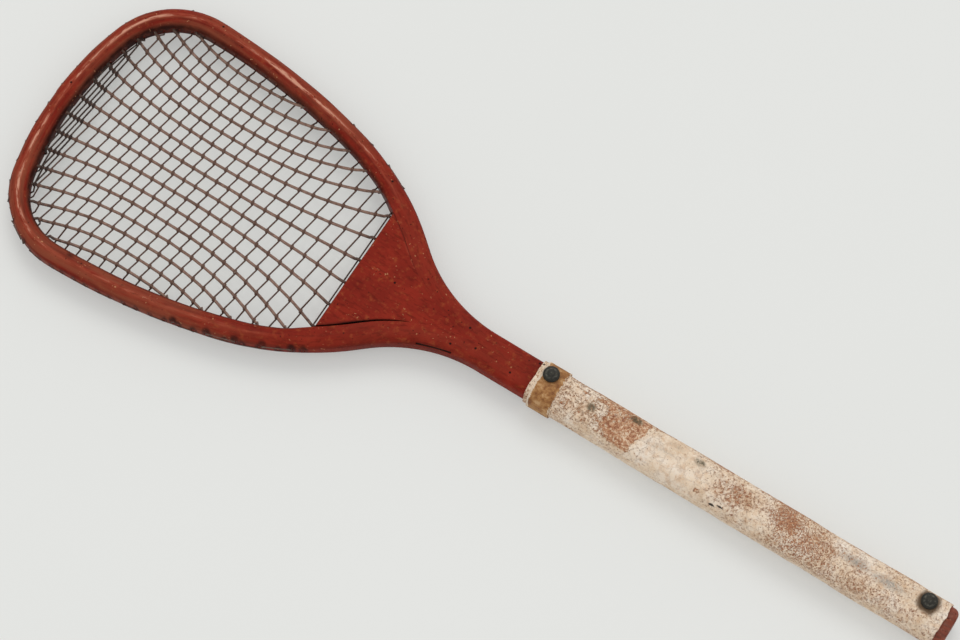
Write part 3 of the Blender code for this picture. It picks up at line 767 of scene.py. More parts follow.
WOOD = red_wood("red_stained_ash", (0.178, 0.013, 0.0070), (0.275, 0.025, 0.013), (0.37, 0.09, 0.028))
BORE = shaded_bore_wood("shaded_bore_wood")
BUTT = red_wood("butt_wood", (0.19, 0.062, 0.042), (0.29, 0.118, 0.084), (0.42, 0.23, 0.165))
MAIN_GUT = gut("main_gut", (0.15, 0.080, 0.058), (0.33, 0.20, 0.147), (0.045, 0.024, 0.018))
CROSS_GUT = gut("cross_gut", (0.055, 0.027, 0.021), (0.135, 0.070, 0.053), (0.15, 0.082, 0.058))
TREBLE_GUT = gut("treble_gut", (0.035, 0.021, 0.017), (0.10, 0.06, 0.045), (0.03, 0.015, 0.011))
THROAT_GUT = gut("throat_gut", (0.03, 0.016, 0.012), (0.10, 0.06, 0.045), (0.03, 0.015, 0.011))
LEATHER = flaked_leather("flaked_leather")
OCHRE = ochre_leather("ochre_leather")
IRON = black_iron("black_iron")


# Bent hoop and its drilled holes

def strip_ring(x, y, heading, side, cut):
    """Points of the strip's section at one station, with their places across and up it."""
    to_throat = ease((x - WEDGE_EDGE + WEDGE_BLEND) / SQUARE_RUN)
    to_handle = past(x, WEDGE_EDGE, SHAFT_FULL - WEDGE_EDGE)
    under_grip = past(x, SHAFT_FULL, GRIP_START - SHAFT_FULL)
    half_depth = STRIP_DEPTH / 2
    edge = HALF_STRIP - cut - SHAFT_TRIM * to_handle
    crest = STRIP_WIDTH * CREST_REACH
    outer = mix(mix(crest, SHAFT_ROUND, to_handle), LEG_ROUND, under_grip)
    outer_rise = mix(mix(CREST_HEIGHT, SHAFT_ROUND, to_handle), LEG_ROUND_RISE, under_grip)
    inner = mix(crest, JOINT_EDGE, to_throat)
    inner_rise = mix(CREST_HEIGHT, JOINT_EDGE, to_throat)
    inner_edge = HALF_STRIP + JOINT_CLOSED * to_throat
    outside, inside = (edge - outer, outer, outer_rise), (inner - inner_edge, inner, inner_rise)
    ring = []
    for quarter, (across, reach, rise) in enumerate((outside, inside, inside, outside)):
        up = half_depth - rise if quarter < 2 else rise - half_depth
        for k in range(CORNER_STEPS + 1):
            angle = math.pi / 2 * (quarter + k / CORNER_STEPS)
            out = across + reach * math.cos(angle)
            high = up + rise * math.sin(angle)
            ring.append((x - out * math.sin(heading), side * (y + out * math.cos(heading)), high, out))
    return ring


def rounded_butt(steps):
    """Stations (x, cut) round the edge of the butt."""
    angles = [math.pi / 2 * k / steps for k in range(1, steps + 1)]
    return [(BUTT_X - BUTT_ROUND * (1 - math.sin(a)), BUTT_ROUND * (1 - math.cos(a))) for a in angles]


def hoop_stations():
    """Stations (x, y, heading, cut, length) down one side, from the head end to the rounded butt."""
    half = hoop_half(HOOP_STEP)
    leg_start, leg_length = half[-1][0], half[-1][3]
    stations = [(x, y, heading, 0.0, along) for x, y, heading, along in half]
    leg = [(float(x), 0.0) for x in np.linspace(leg_start, BUTT_X - BUTT_ROUND, LEG_STATIONS)[1:]]
    for x, cut in leg + rounded_butt(BUTT_STEPS):
        stations.append((x, LEG_Y, 0.0, cut, leg_length + x - leg_start))
    return stations


def hole_finders(holes):
    """Search trees of the holes' mouths on both walls, and of those on the outer wall, squashed in height."""
    mouths, outlets = kdtree.KDTree(2 * len(holes)), kdtree.KDTree(len(holes))
    for k, (start, end, _) in enumerate(holes):
        lead = HOLE_OVERRUN * (end - start).normalized()
        mouths.insert(start + lead, 2 * k)
        mouths.insert(end - lead, 2 * k + 1)
        outlets.insert((end - lead) * OUTLET_SQUASH, k)
    mouths.balance()
    outlets.balance()
    return mouths, outlets


def on_top(z):
    """1 on the upper face of the strip."""
    return past(z, *TOP_FACE)


def hoop_wear_and_highlight(x, point):
    """Painted highlight along the crest of the head, stronger on the far side, mixed with the stain rubbed
    off there; and the stain rubbed off at the butt.
    """
    px, py, pz, out = point
    far_side = py > 0
    # Painted highlight along the crest
    crest = math.exp(-((out - CREST_LINE) / CREST_HALF) ** 2) * on_top(pz)
    share = mix(1.15, 1.1 if far_side else 0.6, past(x, *HEAD_BEND))
    share *= 1 - 0.85 * past(x, *(FAR_HIGHLIGHT_END if far_side else NEAR_HIGHLIGHT_END))
    rubbed_end = 0.5 * past(x, *BUTT_RUBBED) * (0.8 + 0.8 * wave(px, py, pz, 130))
    return max(crest * share * (0.8 + 0.5 * wave(px, py, 0.3, 18)), rubbed_end)


def hole_dirt_and_shade(x, side, spot, out, finders):
    """Dark rim round each hole, dirt with painted shade at its mouth, wider on the near side of the throat.
    """
    mouths, outlets = finders
    if out <= OUTER_SIDE:
        return short_of(mouths.find(spot)[2], *MOUTH_RIM)
    wide = WIDER_RIM if side < 0 and DARK_RIM_HOLES[0] < x < DARK_RIM_HOLES[1] else 0.0
    return short_of(outlets.find(spot * OUTLET_SQUASH)[2] - wide, *OUTLET_RIM)


def crack_shade(x, side, point):
    """Painted shade: black in the split of the near shoulder and in the open joint beside the wedge."""
    px, _, pz, out = point
    if side > 0:
        return 0.0
    if out > SPLIT_SIDE:
        return patch(px, pz, SPLIT_SHADE)
    return 1.0 if out < JOINT_SIDE and WEDGE_EDGE < x < CRACK_END else 0.0


def hoop_grime_and_shade(x, side, spot, point, finders):
    """Painted shade, with some dirt, inside the head and low and at the edges of the walls; dirt and painted
    shade round the holes; a dark band beside the crest; and painted shade in the cracks.
    """
    px, py, pz, out = point
    top = on_top(pz)
    # Painted shade with some dirt: the inner wall, the underside and the edges of the outer wall darkened
    inside = past(-out, *INNER_WALL) * short_of(x, *INNER_DIRT_AND_SHADE_END)
    inside *= (0.75 + 0.25 * short_of(x, *HEAD_END)) * (1 - 0.75 * top)
    low = past(-pz, *LOW_FACE)
    outer = past(out, *OUTER_WALL) * past(abs(pz), *LOW_FACE)
    outer *= 1 - 0.8 * past(x, *BUTT_CLEAN)
    walls = inside + 0.3 * low + mix(0.5, 0.55, past(x, *SHAFT_DIRT_AND_SHADE)) * outer
    worn_through = patch(px, py, WORN_THROUGH) if pz > 0 else 0.0
    # Dark band along the top face beside the crest
    dark_band = 0.55 * math.exp(-((out - DARK_BAND_LINE) / DARK_BAND_HALF) ** 2) * top
    dark_band *= short_of(x, *DARK_BAND_END) * ease(0.5 + 0.9 * wave(px, py, 0.7, 34))
    hole = 0.95 * hole_dirt_and_shade(x, side, spot, out, finders)
    return min(1.0, max(walls, hole, worn_through, dark_band, crack_shade(x, side, point)))


def build_hoop(holes):
    """Bent strip from butt to butt round the head, drilled for the strings and bare at its end."""
    stations = hoop_stations()
    finders = hole_finders(holes)
    strip = Skin()
    runs = [(-1, s) for s in reversed(stations)] + [(1, s) for s in stations[1:]]
    for side, (x, y, heading, cut, along) in runs:
        strip.ring()
        swell = sum(size * math.sin(along * pace + turn * side) for size, pace, turn in STRIP_SWELLS)
        for point in strip_ring(x, y, heading, side, cut):
            px, py, pz, out = point
            push = (STRIP_LUMP * wave(px, py, pz, 38) + swell) * short_of(x, *LUMPS_END)
            reach = push * max(abs(out) / HALF_STRIP, 0.05) * np.sign(out)
            spot = place(px - reach * math.sin(heading), py + side * reach * math.cos(heading),
                         pz * (1 + push / HALF_STRIP))
            strip.point(spot, grain=(side * along, out, pz), wear_and_highlight=hoop_wear_and_highlight(x, point),
                        grime_and_shade=hoop_grime_and_shade(x, side, spot, point, finders),
                        age=1 - 0.85 * past(x, *AGE_END))
    hoop = drill(strip.piece("frame_hoop_wood", WOOD, BORE), holes + [shoulder_split()])
    hoop.data.materials.append(BUTT)
    butt_slot = len(hoop.data.materials) - 1
    bare_from = place(GRIP_END - BARE_END, 0.0).x
    for face in hoop.data.polygons:
        if face.center.x > bare_from:
            face.material_index = butt_slot
    return hoop


def drill(hoop, holes):
    """Cut bores out of the strip; their walls take the near-black wood of painted shade."""
    cutter = add("hole_cutter", hole_mesh(holes), BORE)
    cut = hoop.modifiers.new("holes", "BOOLEAN")
    cut.operation = "DIFFERENCE"
    cut.solver = "EXACT"
    cut.material_mode = "TRANSFER"
    cut.object = cutter
    hoop = settle(hoop)
    bpy.data.objects.remove(cutter, do_unlink=True)
    return hoop


def shoulder_split():
    """Bore that opens the split along the near shoulder's outer edge."""
    ends = []
    near = [k for k in range(len(MIDDLE)) if MIDDLE[k][1] < 0]
    for x in SPLIT_ENDS:
        k = min(near, key=lambda k: abs(MIDDLE[k][0] - x))
        ends.append(place(*(MIDDLE[k] + OUTWARD[k] * (HALF_STRIP - SPLIT_INSET)), SPLIT_HEIGHT))
    return ends[0], ends[1], SPLIT_RADIUS


def hole_mesh(holes):
    """Round bores, each given as (start, end, radius), in one mesh."""
    points, faces = [], []
    for start, end, radius in holes:
        turn = (end - start).to_track_quat("Z", "Y").to_matrix()
        faces += skin_faces(2, BORE_SIDES, base=len(points))
        for spot in (start, end):
            for k in range(BORE_SIDES):
                a = 2 * math.pi * k / BORE_SIDES
                points.append(spot + turn @ Vector((radius * math.cos(a), radius * math.sin(a), 0)))
    mesh = bpy.data.meshes.new("hole_cutter")
    mesh.from_pydata(points, [], faces)
    return mesh


# String bed

def main_gap(x):
    """Gap between mains, which is least at the waist and opens to both ends."""
    if x < MAIN_WAIST:
        share = (MAIN_WAIST - x) / (MAIN_WAIST - STRIP_WIDTH)
        return mix(MAIN_GAP_WAIST, MAIN_GAP_HEAD, share ** MAIN_FLARE)
    share = (x - MAIN_WAIST) / (WEDGE_EDGE - MAIN_WAIST)
    return mix(MAIN_GAP_WAIST, MAIN_GAP_THROAT, share ** MAIN_FLARE)


def main_y(j, x):
    return (j - (MAIN_COUNT - 1) / 2) * main_gap(x)


def cross_x(i):
    growth = (CROSS_PITCH_THROAT - CROSS_PITCH_HEAD) / (CROSS_COUNT - 2)
    return CROSS_START + i * CROSS_PITCH_HEAD + growth * i * (i - 1) / 2


def march(route, start, step, stop=None):
    """Where a route first meets the strip's inner wall, or None if it stops before."""
    t = start
    while opening(np.array(route(t))) > 0:
        t += step
        if stop is not None and t >= stop:
            return None
    return t


class End:
    """Where a string meets the hoop, and the points that it takes through its hole."""

    def __init__(self, route, t, step, radius, row):
        here = np.array(route(t))
        way = here - np.array(route(t - WAY_STEPS * step))
        way /= np.linalg.norm(way)
        self.row = row
        self.radius = radius
        normal = OUTWARD[nearest(here)]
        bore = way + normal
        bore /= np.linalg.norm(bore)
        through = STRIP_WIDTH / float(bore @ normal)
        self.lead = here - bore * HOLE_LEAD
        self.flush = here + bore * through
        self.proud = here + bore * (through + END_PROUD)
        self.start = here - bore * HOLE_OVERRUN
        self.stop = here + bore * (through + HOLE_OVERRUN)

    def hole(self):
        return place(*self.start, self.row), place(*self.stop, self.row), self.radius + CLEARANCE

    def point(self, which):
        return place(*getattr(self, which), self.row)


def loop_outside(first, second, sunk):
    """Points along the outer wall of the hoop from one hole to the next, sunk in their groove."""
    low, high = nearest(first.proud), nearest(second.proud)
    count = max(2, round(abs(high - low) / LOOP_STRIDE))
    offset = HALF_STRIP - sunk
    points = []
    for k in range(1, count):
        index = round(mix(low, high, k / count))
        points.append(place(*(MIDDLE[index] + OUTWARD[index] * offset), first.row))
    return points


def lace(runs, lines, odd, sunk, knot):
    """Lines (points, marks) as one string, every other one backward, joined along the outside of the hoop."""
    route, knots = [], []
    for k, (run, (line, marks)) in enumerate(zip(runs, lines)):
        end = (k + odd) % 2
        if k and len(run["ends"]) > end:
            outside = loop_outside(runs[k - 1]["ends"][end], run["ends"][end], sunk)
            route += outside
            knots += [knot] * len(outside)
        route += line[::-1] if end else line
        knots += marks[::-1] if end else marks
    route[0] = runs[0]["ends"][odd % 2].point("flush")
    route[-1] = runs[-1]["ends"][1 - end].point("flush")
    return route, knots


class Bed:
    """Routes of all the strings: mains that flare at both ends, and crosses looped round each."""

    def __init__(self):
        self.mains = []
        for j in range(MAIN_COUNT):
            def route(x, j=j):
                return x, main_y(j, x)
            head = march(route, MAIN_WAIST, -SEEK_STEP)
            throat = march(route, MAIN_WAIST, SEEK_STEP, THROAT_STRING)
            ends = [End(route, head, -SEEK_STEP, MAIN_RADIUS, HOLE_ROW)]
            if throat is not None:
                ends.append(End(route, throat, SEEK_STEP, MAIN_RADIUS, HOLE_ROW))
            self.mains.append({"head": head, "throat": throat, "ends": ends})
        self.crosses = [self.across(cross_x(i), CROSS_RADIUS) for i in range(CROSS_COUNT)]
        self.trebles = [self.across(TREBLE_START + k * TREBLE_PITCH, TREBLE_RADIUS, 0.0)
                        for k in range(TREBLE_COUNT)]
        self.throat = self.across(THROAT_STRING, THROAT_RADIUS, 0.0, 0.0)

    def across(self, x, radius, slope=CROSS_SLOPE, row=-HOLE_ROW):
        """One run from wall to wall, with the places where it meets the mains."""
        def route(y):
            return x + slope * y, y
        low = march(route, 0.0, -SEEK_STEP)
        high = march(route, 0.0, SEEK_STEP)
        ends = [End(route, low, -SEEK_STEP, radius, row), End(route, high, SEEK_STEP, radius, row)]
        meets = []
        for j in range(MAIN_COUNT):
            y = 0.0
            for _ in range(MEET_TRIES):
                y = main_y(j, x + slope * y)
            if low < y < high:
                meets.append((j, x + slope * y, y))
        return {"ends": ends, "meets": meets, "low": low, "high": high}

    def main_rise(self, j, x):
        """How far a main has risen to its row of holes."""
        main = self.mains[j]
        to_wall = x - main["head"]
        if main["throat"] is not None:
            to_wall = min(to_wall, main["throat"] - x)
        return HOLE_ROW * short_of(to_wall, 0.0, ROW_REACH)

    def main_line(self, j):
        """Points of one main from the head down, and how dark its bindings are."""
        main = self.mains[j]
        head = main["ends"][0]
        last = THROAT_STRING - MAIN_STOP if main["throat"] is None else main["throat"] - HOLE_LEAD
        first = main["head"] + HOLE_LEAD
        line = [head.point("proud"), head.point("lead")]
        marks = [1.0, 1.0]
        for x in np.linspace(first, last, round((last - first) / MAIN_POINT_STEP))[1:]:
            x = float(x)
            sway = MAIN_SWAY * wave(x, j * 0.37, 0.5, 55)
            line.append(place(x, main_y(j, x) + sway, self.main_rise(j, x)))
            bound = short_of(x - main["head"], *HEAD_BOUND)
            bound = max(bound, 0.8 * past(x, *THROAT_BOUND))
            marks.append(bound * (1.0 if len(line) % 2 else 0.15))
        if main["throat"] is None:
            reach = MAIN_RADIUS + THROAT_RADIUS + CLEARANCE
            y = main_y(j, THROAT_STRING)
            for degrees in THROAT_BEND:
                a = math.radians(degrees)
                line.append(place(THROAT_STRING + reach * math.cos(a), y, reach * math.sin(a)))
                marks.append(0.9)
            return line, marks
        throat = main["ends"][1]
        return line + [throat.point("lead"), throat.point("proud")], marks + [0.6, 1.0]

    def main_route(self):
        """All the mains as one string; the first that turns round the throat string comes from the head."""
        odd = next(j for j in range(MAIN_COUNT) if self.mains[j]["throat"] is None)
        lines = [self.main_line(j) for j in range(MAIN_COUNT)]
        return lace(self.mains, lines, odd, MAIN_SUNK, 0.6)

    def looped(self, i, run, radius):
        """One run across: a turn and a half round every main that it meets."""
        line, knots = [], []
        turn = STRING_SHOWN["main"] + TURN_BITE * radius
        for j, x, y in run["meets"]:
            if min(y - run["low"], run["high"] - y) < HOLE_LEAD + turn:
                continue
            rise = self.main_rise(j, x)
            pitch = (TURN_PITCH + TURN_PITCH_SWING * wave(x, y, i, 90)) * radius
            for k in range(TURN_STEPS + 1):
                a = math.radians(TURN_START - TURN_SWEEP * k / TURN_STEPS)
                line.append(place(x - pitch * (k / TURN_STEPS - 0.5), y + turn * math.cos(a),
                                  rise + turn * math.sin(a)))
                knots.append(1.0 if 1 < k < TURN_STEPS - 1 else 0.4)
        return line, knots

    def across_route(self, runs, kind):
        """Runs across as one string."""
        lines = []
        for i, run in enumerate(runs):
            low, high = run["ends"]
            line, marks = self.looped(i, run, STRING_SHOWN[kind])
            line = [low.point("proud"), low.point("lead"), *line, high.point("lead"), high.point("proud")]
            lines.append((line, [0.0, 0.0, *marks, 0.0, 0.0]))
        return lace(runs, lines, 0, CROSS_SUNK, 0.0)

    def throat_route(self):
        low, high = self.throat["ends"]
        route = [low.point("flush"), low.point("lead")]
        for t in np.linspace(0, 1, THROAT_POINTS)[1:-1]:
            route.append(low.point("lead").lerp(high.point("lead"), float(t)))
        route += [high.point("lead"), high.point("flush")]
        return route, [0.0] * len(route)

    def holes(self):
        ends = [end for main in self.mains for end in main["ends"]]
        for run in self.crosses + self.trebles + [self.throat]:
            ends += run["ends"]
        return [end.hole() for end in ends]


def string_skin():
    """Node group that skins a string's route with an uneven round gut and marks its lay."""
    group = bpy.data.node_groups.new("string_skin", "GeometryNodeTree")
    for name, kind in (("Geometry", "Geometry"), ("Radius", "Float"), ("Unevenness", "Float"),
                       ("Lumps", "Float"), ("Material", "Material")):
        group.interface.new_socket(name, in_out="INPUT", socket_type="NodeSocket" + kind)
    group.interface.new_socket("Geometry", in_out="OUTPUT", socket_type="NodeSocketGeometry")
    g = Nodes(group)
    given = group.nodes.new("NodeGroupInput").outputs

    def named(name):
        return g.node("GeometryNodeInputNamedAttribute", 0, {"Name": name}, data_type="FLOAT")

    def store(geometry, name, kind, value):
        inputs = {"Geometry": geometry, "Name": name, "Value": value}
        return g.node("GeometryNodeStoreNamedAttribute", 0, inputs, data_type=kind, domain="POINT")

    lumps = g.node("ShaderNodeTexNoise", 0, {"Scale": given["Lumps"]})
    swing = g.node("ShaderNodeMapRange", 0, {"Value": lumps, "To Min": -1.0})
    size = g.times(g.math("MULTIPLY_ADD", swing, given["Unevenness"], 1.0), given["Radius"])
    curve = g.node("GeometryNodeMeshToCurve", 0, {0: given["Geometry"]})
    ring = g.node("GeometryNodeCurvePrimitiveCircle", 0, {"Resolution": STRING_SIDES, "Radius": 1.0})
    skin = g.node("GeometryNodeCurveToMesh", 0, {
        "Curve": store(curve, "run", "FLOAT", g.node("GeometryNodeSplineParameter", "Length")),
        "Profile Curve": store(ring, "turn", "FLOAT", g.node("GeometryNodeSplineParameter", "Factor")),
        "Scale": size, "Fill Caps": True,
    })
    lay = g.node("ShaderNodeCombineXYZ", 0, {0: named("run"), 1: named("turn")})
    smooth = g.node("GeometryNodeSetShadeSmooth", 0, {0: store(skin, "lay", "FLOAT_VECTOR", lay)})
    real = g.node("GeometryNodeRealizeInstances", 0, {0: smooth})
    coat = g.node("GeometryNodeSetMaterial", 0, {"Geometry": real, "Material": given["Material"]})
    g.feed(group.nodes.new("NodeGroupOutput"), {0: coat})
    return group


def build_string(name, kind, route_and_knots, material, skin):
    """One string along its route, with its knots marked for the gut."""
    route, knots = route_and_knots
    line = bpy.data.meshes.new(name)
    line.from_pydata(route, [(k, k + 1) for k in range(len(route) - 1)], [])
    line.attributes.new("knot", "FLOAT", "POINT").data.foreach_set("value", knots)
    obj = link(name, line)
    modifier = obj.modifiers.new("skin", "NODES")
    modifier.node_group = skin
    values = {"Radius": STRING_SHOWN[kind], "Unevenness": STRING_UNEVEN[kind], "Lumps": STRING_LUMPS,
              "Material": material}
    for item in skin.interface.items_tree:
        if item.in_out == "INPUT" and item.name in values:
            modifier[item.identifier] = values[item.name]
    return settle(obj)


# Throat wedge

def wedge_sides():
    """Half width of the wedge at each distance down the racket."""
    rows = []
    for point, normal in zip(MIDDLE, OUTWARD):
        wall = point - normal * (HALF_STRIP + WEDGE_INSET)
        if point[1] > 0 and wall[0] > WEDGE_EDGE - WALL_MARGIN and wall[1] > WEDGE_TAIL_HALF / 2:
            rows.append(wall)
    rows = np.array(rows)
    order = np.argsort(rows[:, 0])
    return rows[order, 0], rows[order, 1]


def build_wedge():
    """Throat block, flush with the legs, with the joint on its near side sprung open at the strings."""
    wall_x, wall_y = wedge_sides()
    lip = np.linspace(WEDGE_EDGE, WEDGE_EDGE + WEDGE_LIP, WEDGE_LIP_ROWS)
    body = np.linspace(WEDGE_EDGE + WEDGE_LIP, float(wall_x[-1]), WEDGE_ROWS)[1:]
    block = Skin()
    for x in [float(x) for x in (*lip, *body)]:
        half = float(np.interp(x, wall_x, wall_y))
        spring = max(0.0, math.sin(math.pi * min(1.0, (x - CRACK_START) / CRACK_RUN)))
        low, high = -half + min(CRACK_WIDTH * spring ** 0.8, 1.6 * half), half
        near = min(1.0, (x - WEDGE_EDGE) / WEDGE_LIP)
        depth = STRIP_DEPTH / 2 - WEDGE_LIP_DROP * (1 - math.sqrt(max(0.0, 1 - (1 - near) ** 2)))
        seam_open = short_of(x, *SEAM_END)
        block.ring()
        for face in (1, -1):
            for k in range(WEDGE_COLUMNS + 1):
                t = k / WEDGE_COLUMNS
                y = mix(high, low, t) if face > 0 else mix(low, high, t)
                to_seam, to_crack = high - y, y - low
                z = depth - SEAM_DROP * seam_open * short_of(to_seam, 0.0, SEAM_SLOPE)
                z -= CRACK_DROP * spring * short_of(to_crack, 0.0, CRACK_SLOPE)
                z += WEDGE_LUMP * wave(x, y, 0.2, 60) * past(min(to_seam, to_crack), 0.0, LEVEL_EDGE)
                seam_rub = seam_open * short_of(abs(to_seam - SEAM_RUB), 0.0, SEAM_RUB_HALF)
                lip_dirt = 0.45 * short_of(x, *LIP_DIRT) * (1 - near)
                seam_dirt = 0.8 * seam_open * short_of(to_seam, 0.0, SEAM_DIRT)
                # Painted shade: black along the edge of the open crack
                crack_wall_shade = spring * short_of(to_crack, *CRACK_SHADE)
                block.point(place(x, y, face * z), grain=(x, y, face * z),
                            wear_and_highlight=0.10 + 0.5 * (1 - near) + 0.7 * seam_rub,
                            grime_and_shade=max(lip_dirt, seam_dirt, crack_wall_shade))
    return block.piece("throat_wedge_wood", WOOD)


# Handle, grip and tacks

def band(spread):
    """Points and outward normals (y, z, ny, nz) round a layer that lies a spread above the handle's wood."""
    radius = HANDLE_ROUND + spread
    arc = math.pi / 2 * radius
    flats = 2 * (WOOD_HALF_DEPTH - HANDLE_ROUND), 2 * (WOOD_HALF_WIDTH - HANDLE_ROUND)
    points = []
    for k in range(GRIP_POINTS):
        left = k / GRIP_POINTS * (2 * sum(flats) + 4 * arc)
        y, z = WOOD_HALF_WIDTH + spread, -flats[0] / 2
        for quarter in range(4):
            facing = math.pi / 2 * quarter
            step = min(left, flats[quarter % 2])
            turn = min(left - step, arc) / radius
            y += radius * (math.cos(facing + turn) - math.cos(facing)) - step * math.sin(facing)
            z += radius * (math.sin(facing + turn) - math.sin(facing)) + step * math.cos(facing)
            left -= flats[quarter % 2] + arc
            if left <= 0:
                break
        points.append((y, z, math.cos(facing + turn), math.sin(facing + turn)))
    return points


def torn_skin(x, y, z):
    """How far the skin has come off: below the collar, with a slanted end, and along the far rim."""
    near = -y / MM
    along = x / MM + 2.2 * wave(x, y, z, 120, 4)
    full = 412 + 0.6 * max(0.0, near + 3)
    end = 458 - 0.19 * (near + 18)
    torn = 0.41 + 0.215 * past(along, full, 22) + 0.09 * wave(x, y, z, 75, 4)
    torn *= past(along, 396, 6) * short_of(along, end, 1.8)
    torn -= patch(x, y, KEPT_SKIN)
    below_collar = 0.445 * past(x, *TORN_HEAD[0]) * short_of(x, *TORN_HEAD[1])
    torn = max(torn, below_collar, strongest(x, y, TORN_PATCHES)) * (1 - 0.6 * past(near, 11.5, 2))
    far_rim = past(x, *TORN_RIM[0]) * short_of(x, *TORN_RIM[1]) * past(y, FAR_RIM, FAR_RIM_TORN)
    return max(torn, (0.56 + 0.12 * wave(x, y, z, 60, 3)) * far_rim, patch(x, y, TORN_SPOT))


def tack_stain(x, y):
    """Squarish dark patch that the lower tack has left in the leather."""
    along = abs(x - TACK_LOWER) / TACK_STAIN_HALF[0]
    across = abs(y - TACK_SIDE + TACK_STAIN_SHIFT) / TACK_STAIN_HALF[1]
    far = (along ** 3 + across ** 3) ** (1 / 3)
    return short_of(far + 0.1 * wave(x, y, 0.1, 260), 0.8, 0.4)


def grip_marks(x, y, z, torn):
    """Strength of each mark at a point of the grip; only the flaking carries on round the back."""
    whole = patch(x, y, WHOLE_SKIN)
    dense = strongest(x, y, DENSE_FLAKES)
    bare = 0.415 + 0.09 * wave(x, y, z, 40) - 0.09 * whole + 0.085 * dense + total(x, y, BARE_PATCHES)
    bare += 0.09 * past(y, FAR_RIM, FAR_RIM_BARE) - 0.022 * past(x, *BUTT_GRIP)
    sprinkle = 0.397 + 0.07 * wave(x, y, z, 26) - 0.10 * whole + 0.10 * dense
    sprinkle += 0.04 * past(x, *LOWER_GRIP) * short_of(x, *BUTT_GRIP)
    sprinkle += total(x, y, SPRINKLE_PATCHES)
    back = 0.40 + 0.10 * wave(x, y, z, 24)
    top = past(z, *GRIP_TOP)
    seen = 1.0 if z >= 0 else 0.0
    return {
        "bare": mix(back, bare, top),
        "sprinkle": mix(back, sprinkle, top),
        "tan": seen * torn,
        "smoke": seen * min(1.0, SMOKE_STRENGTH * strongest(x, y, SMOKE_PATCHES)),
        "mould": seen * min(1.0, MOULD_STRENGTH * strongest(x, y, MOULD_PATCHES)),
        "stain": seen * tack_stain(x, y),
        "ink": seen * strongest(x, y, INK_PATCHES),
    }


def build_sleeve():
    """Grip leather with a frayed edge at each end; its marks tell where the skin has gone."""
    leather = Skin()
    around = band(SLEEVE_GAP)
    rows = [(GRIP_START, -HEM), (GRIP_START, -HEM / 2)]
    rows += [(float(x), 0.0) for x in np.linspace(GRIP_START, GRIP_END, GRIP_ROWS)]
    rows += [(GRIP_END, -HEM / 2), (GRIP_END, -HEM)]
    for x, sink in rows:
        leather.ring()
        for y, z, ny, nz in around:
            fray = wave(0.2 * x, y, z, 150, 4) * MM
            px = x + 0.5 * fray * short_of(x, GRIP_START, SLEEVE_FRAY)
            px -= 0.9 * fray * short_of(GRIP_END - x, 0.0, SLEEVE_FRAY)
            torn = torn_skin(x, y, z)
            push = sum(size * wave(x, y, z, scale, depth) for size, scale, depth in SLEEVE_LUMPS)
            clear = past(x, *HOLLOWS_START) * past(GRIP_END - x, 0.0, HOLLOWS_STOP)
            push += SLEEVE_HOLLOWS * wave(x, y, z, 26, 2) * clear
            push += sink - TORN_DEPTH * torn - SLEEVE_SUNK
            leather.point(place(px, y + push * ny, z + push * nz), **grip_marks(x, y, z, torn))
    return leather.piece("grip_leather", LEATHER, capped=False)


def build_collar():
    """Ochre leather band round the top of the grip, cut a little unevenly."""
    leather = Skin()
    around = band(SLEEVE_GAP + COLLAR_PROUD)
    tack_dirt = (1.0, TACK_UPPER / MM, TACK_SIDE / MM, 10, 10)
    start, end = COLLAR_START, COLLAR_START + COLLAR_WIDTH
    rows = [(start, -HEM)] + [(float(x), 0.0) for x in np.linspace(start, end, COLLAR_ROWS)] + [(end, -HEM)]
    for x, sink in rows:
        leather.ring()
        for y, z, ny, nz in around:
            fray = wave(0.1, y, z, 110, 3) * MM
            px = x + 0.5 * fray * short_of(x, start, COLLAR_FRAY)
            px += 0.7 * fray * past(x, end - COLLAR_FRAY, COLLAR_FRAY)
            push = COLLAR_LUMP * wave(x, y, z, 120, 3) + sink - COLLAR_SUNK
            rubbed = max(0.80 * short_of(x, start, COLLAR_RUBBED[0]),
                         0.45 * short_of(end - x, 0.0, COLLAR_RUBBED[1]))
            leather.point(place(px, y + push * ny, z + push * nz), edge=rubbed + 0.16 * wave(x, y, z, 60),
                          stain=patch(x, y, tack_dirt) if z > 0 else 0.1)
    return leather.piece("grip_collar_leather", OCHRE, capped=False)


def build_cheek(name, up):
    """Wood that builds the handle up to its depth, bare and red at the butt."""
    wood = Skin()
    start, end = GRIP_START + SLEEVE_WALL, BUTT_X - BUTT_ROUND
    stations = [(float(x), 0.0) for x in np.linspace(start, end, CHEEK_ROWS)]
    for x, cut in stations + rounded_butt(CHEEK_BUTT_STEPS):
        thick = CHEEK_THICKNESS + CLEARANCE - BUTT_FACE_SHARE * cut
        side = []
        for k in range(CHEEK_SIDE_STEPS + 1):
            z = CHEEK_SEAT + thick * k / CHEEK_SIDE_STEPS
            over = max(0.0, z + BUTT_FACE_SHARE * cut - (WOOD_HALF_DEPTH - HANDLE_ROUND))
            edge = WOOD_HALF_WIDTH - HANDLE_ROUND + math.sqrt(max(HANDLE_ROUND ** 2 - over ** 2, 0.0))
            side.append((edge - BUTT_SIDE_SHARE * cut, z))
        wood.ring()
        for y, z in side + [(-y, z) for y, z in reversed(side)]:
            wood.point(place(x, y, up * z), grain=(x, y, z), wear_and_highlight=CHEEK_WEAR, grime_and_shade=CHEEK_GRIME)
    return wood.piece(name, BUTT)


def tack_profile():
    """Points (radius, height) from the top of the dome down to the point of the shank."""
    profile = [(SHANK_POINT, TACK_DOME + TACK_RIM)]
    for k in range(1, DOME_STEPS + 1):
        a = math.pi / 2 * k / DOME_STEPS
        ripple = TACK_RIPPLE * math.sin(math.radians(900) * k / DOME_STEPS)
        profile.append((TACK_RADIUS * math.sin(a), TACK_RIM + TACK_DOME * math.cos(a) - abs(ripple)))
    profile += [(TACK_RADIUS, TACK_RIM * 0.5), (TACK_RADIUS - TACK_EDGE, 0.0)]
    return profile + [(SHANK_RADIUS, -TACK_REST), (SHANK_RADIUS, -SHANK_TAPER), (SHANK_POINT, -SHANK_LENGTH)]


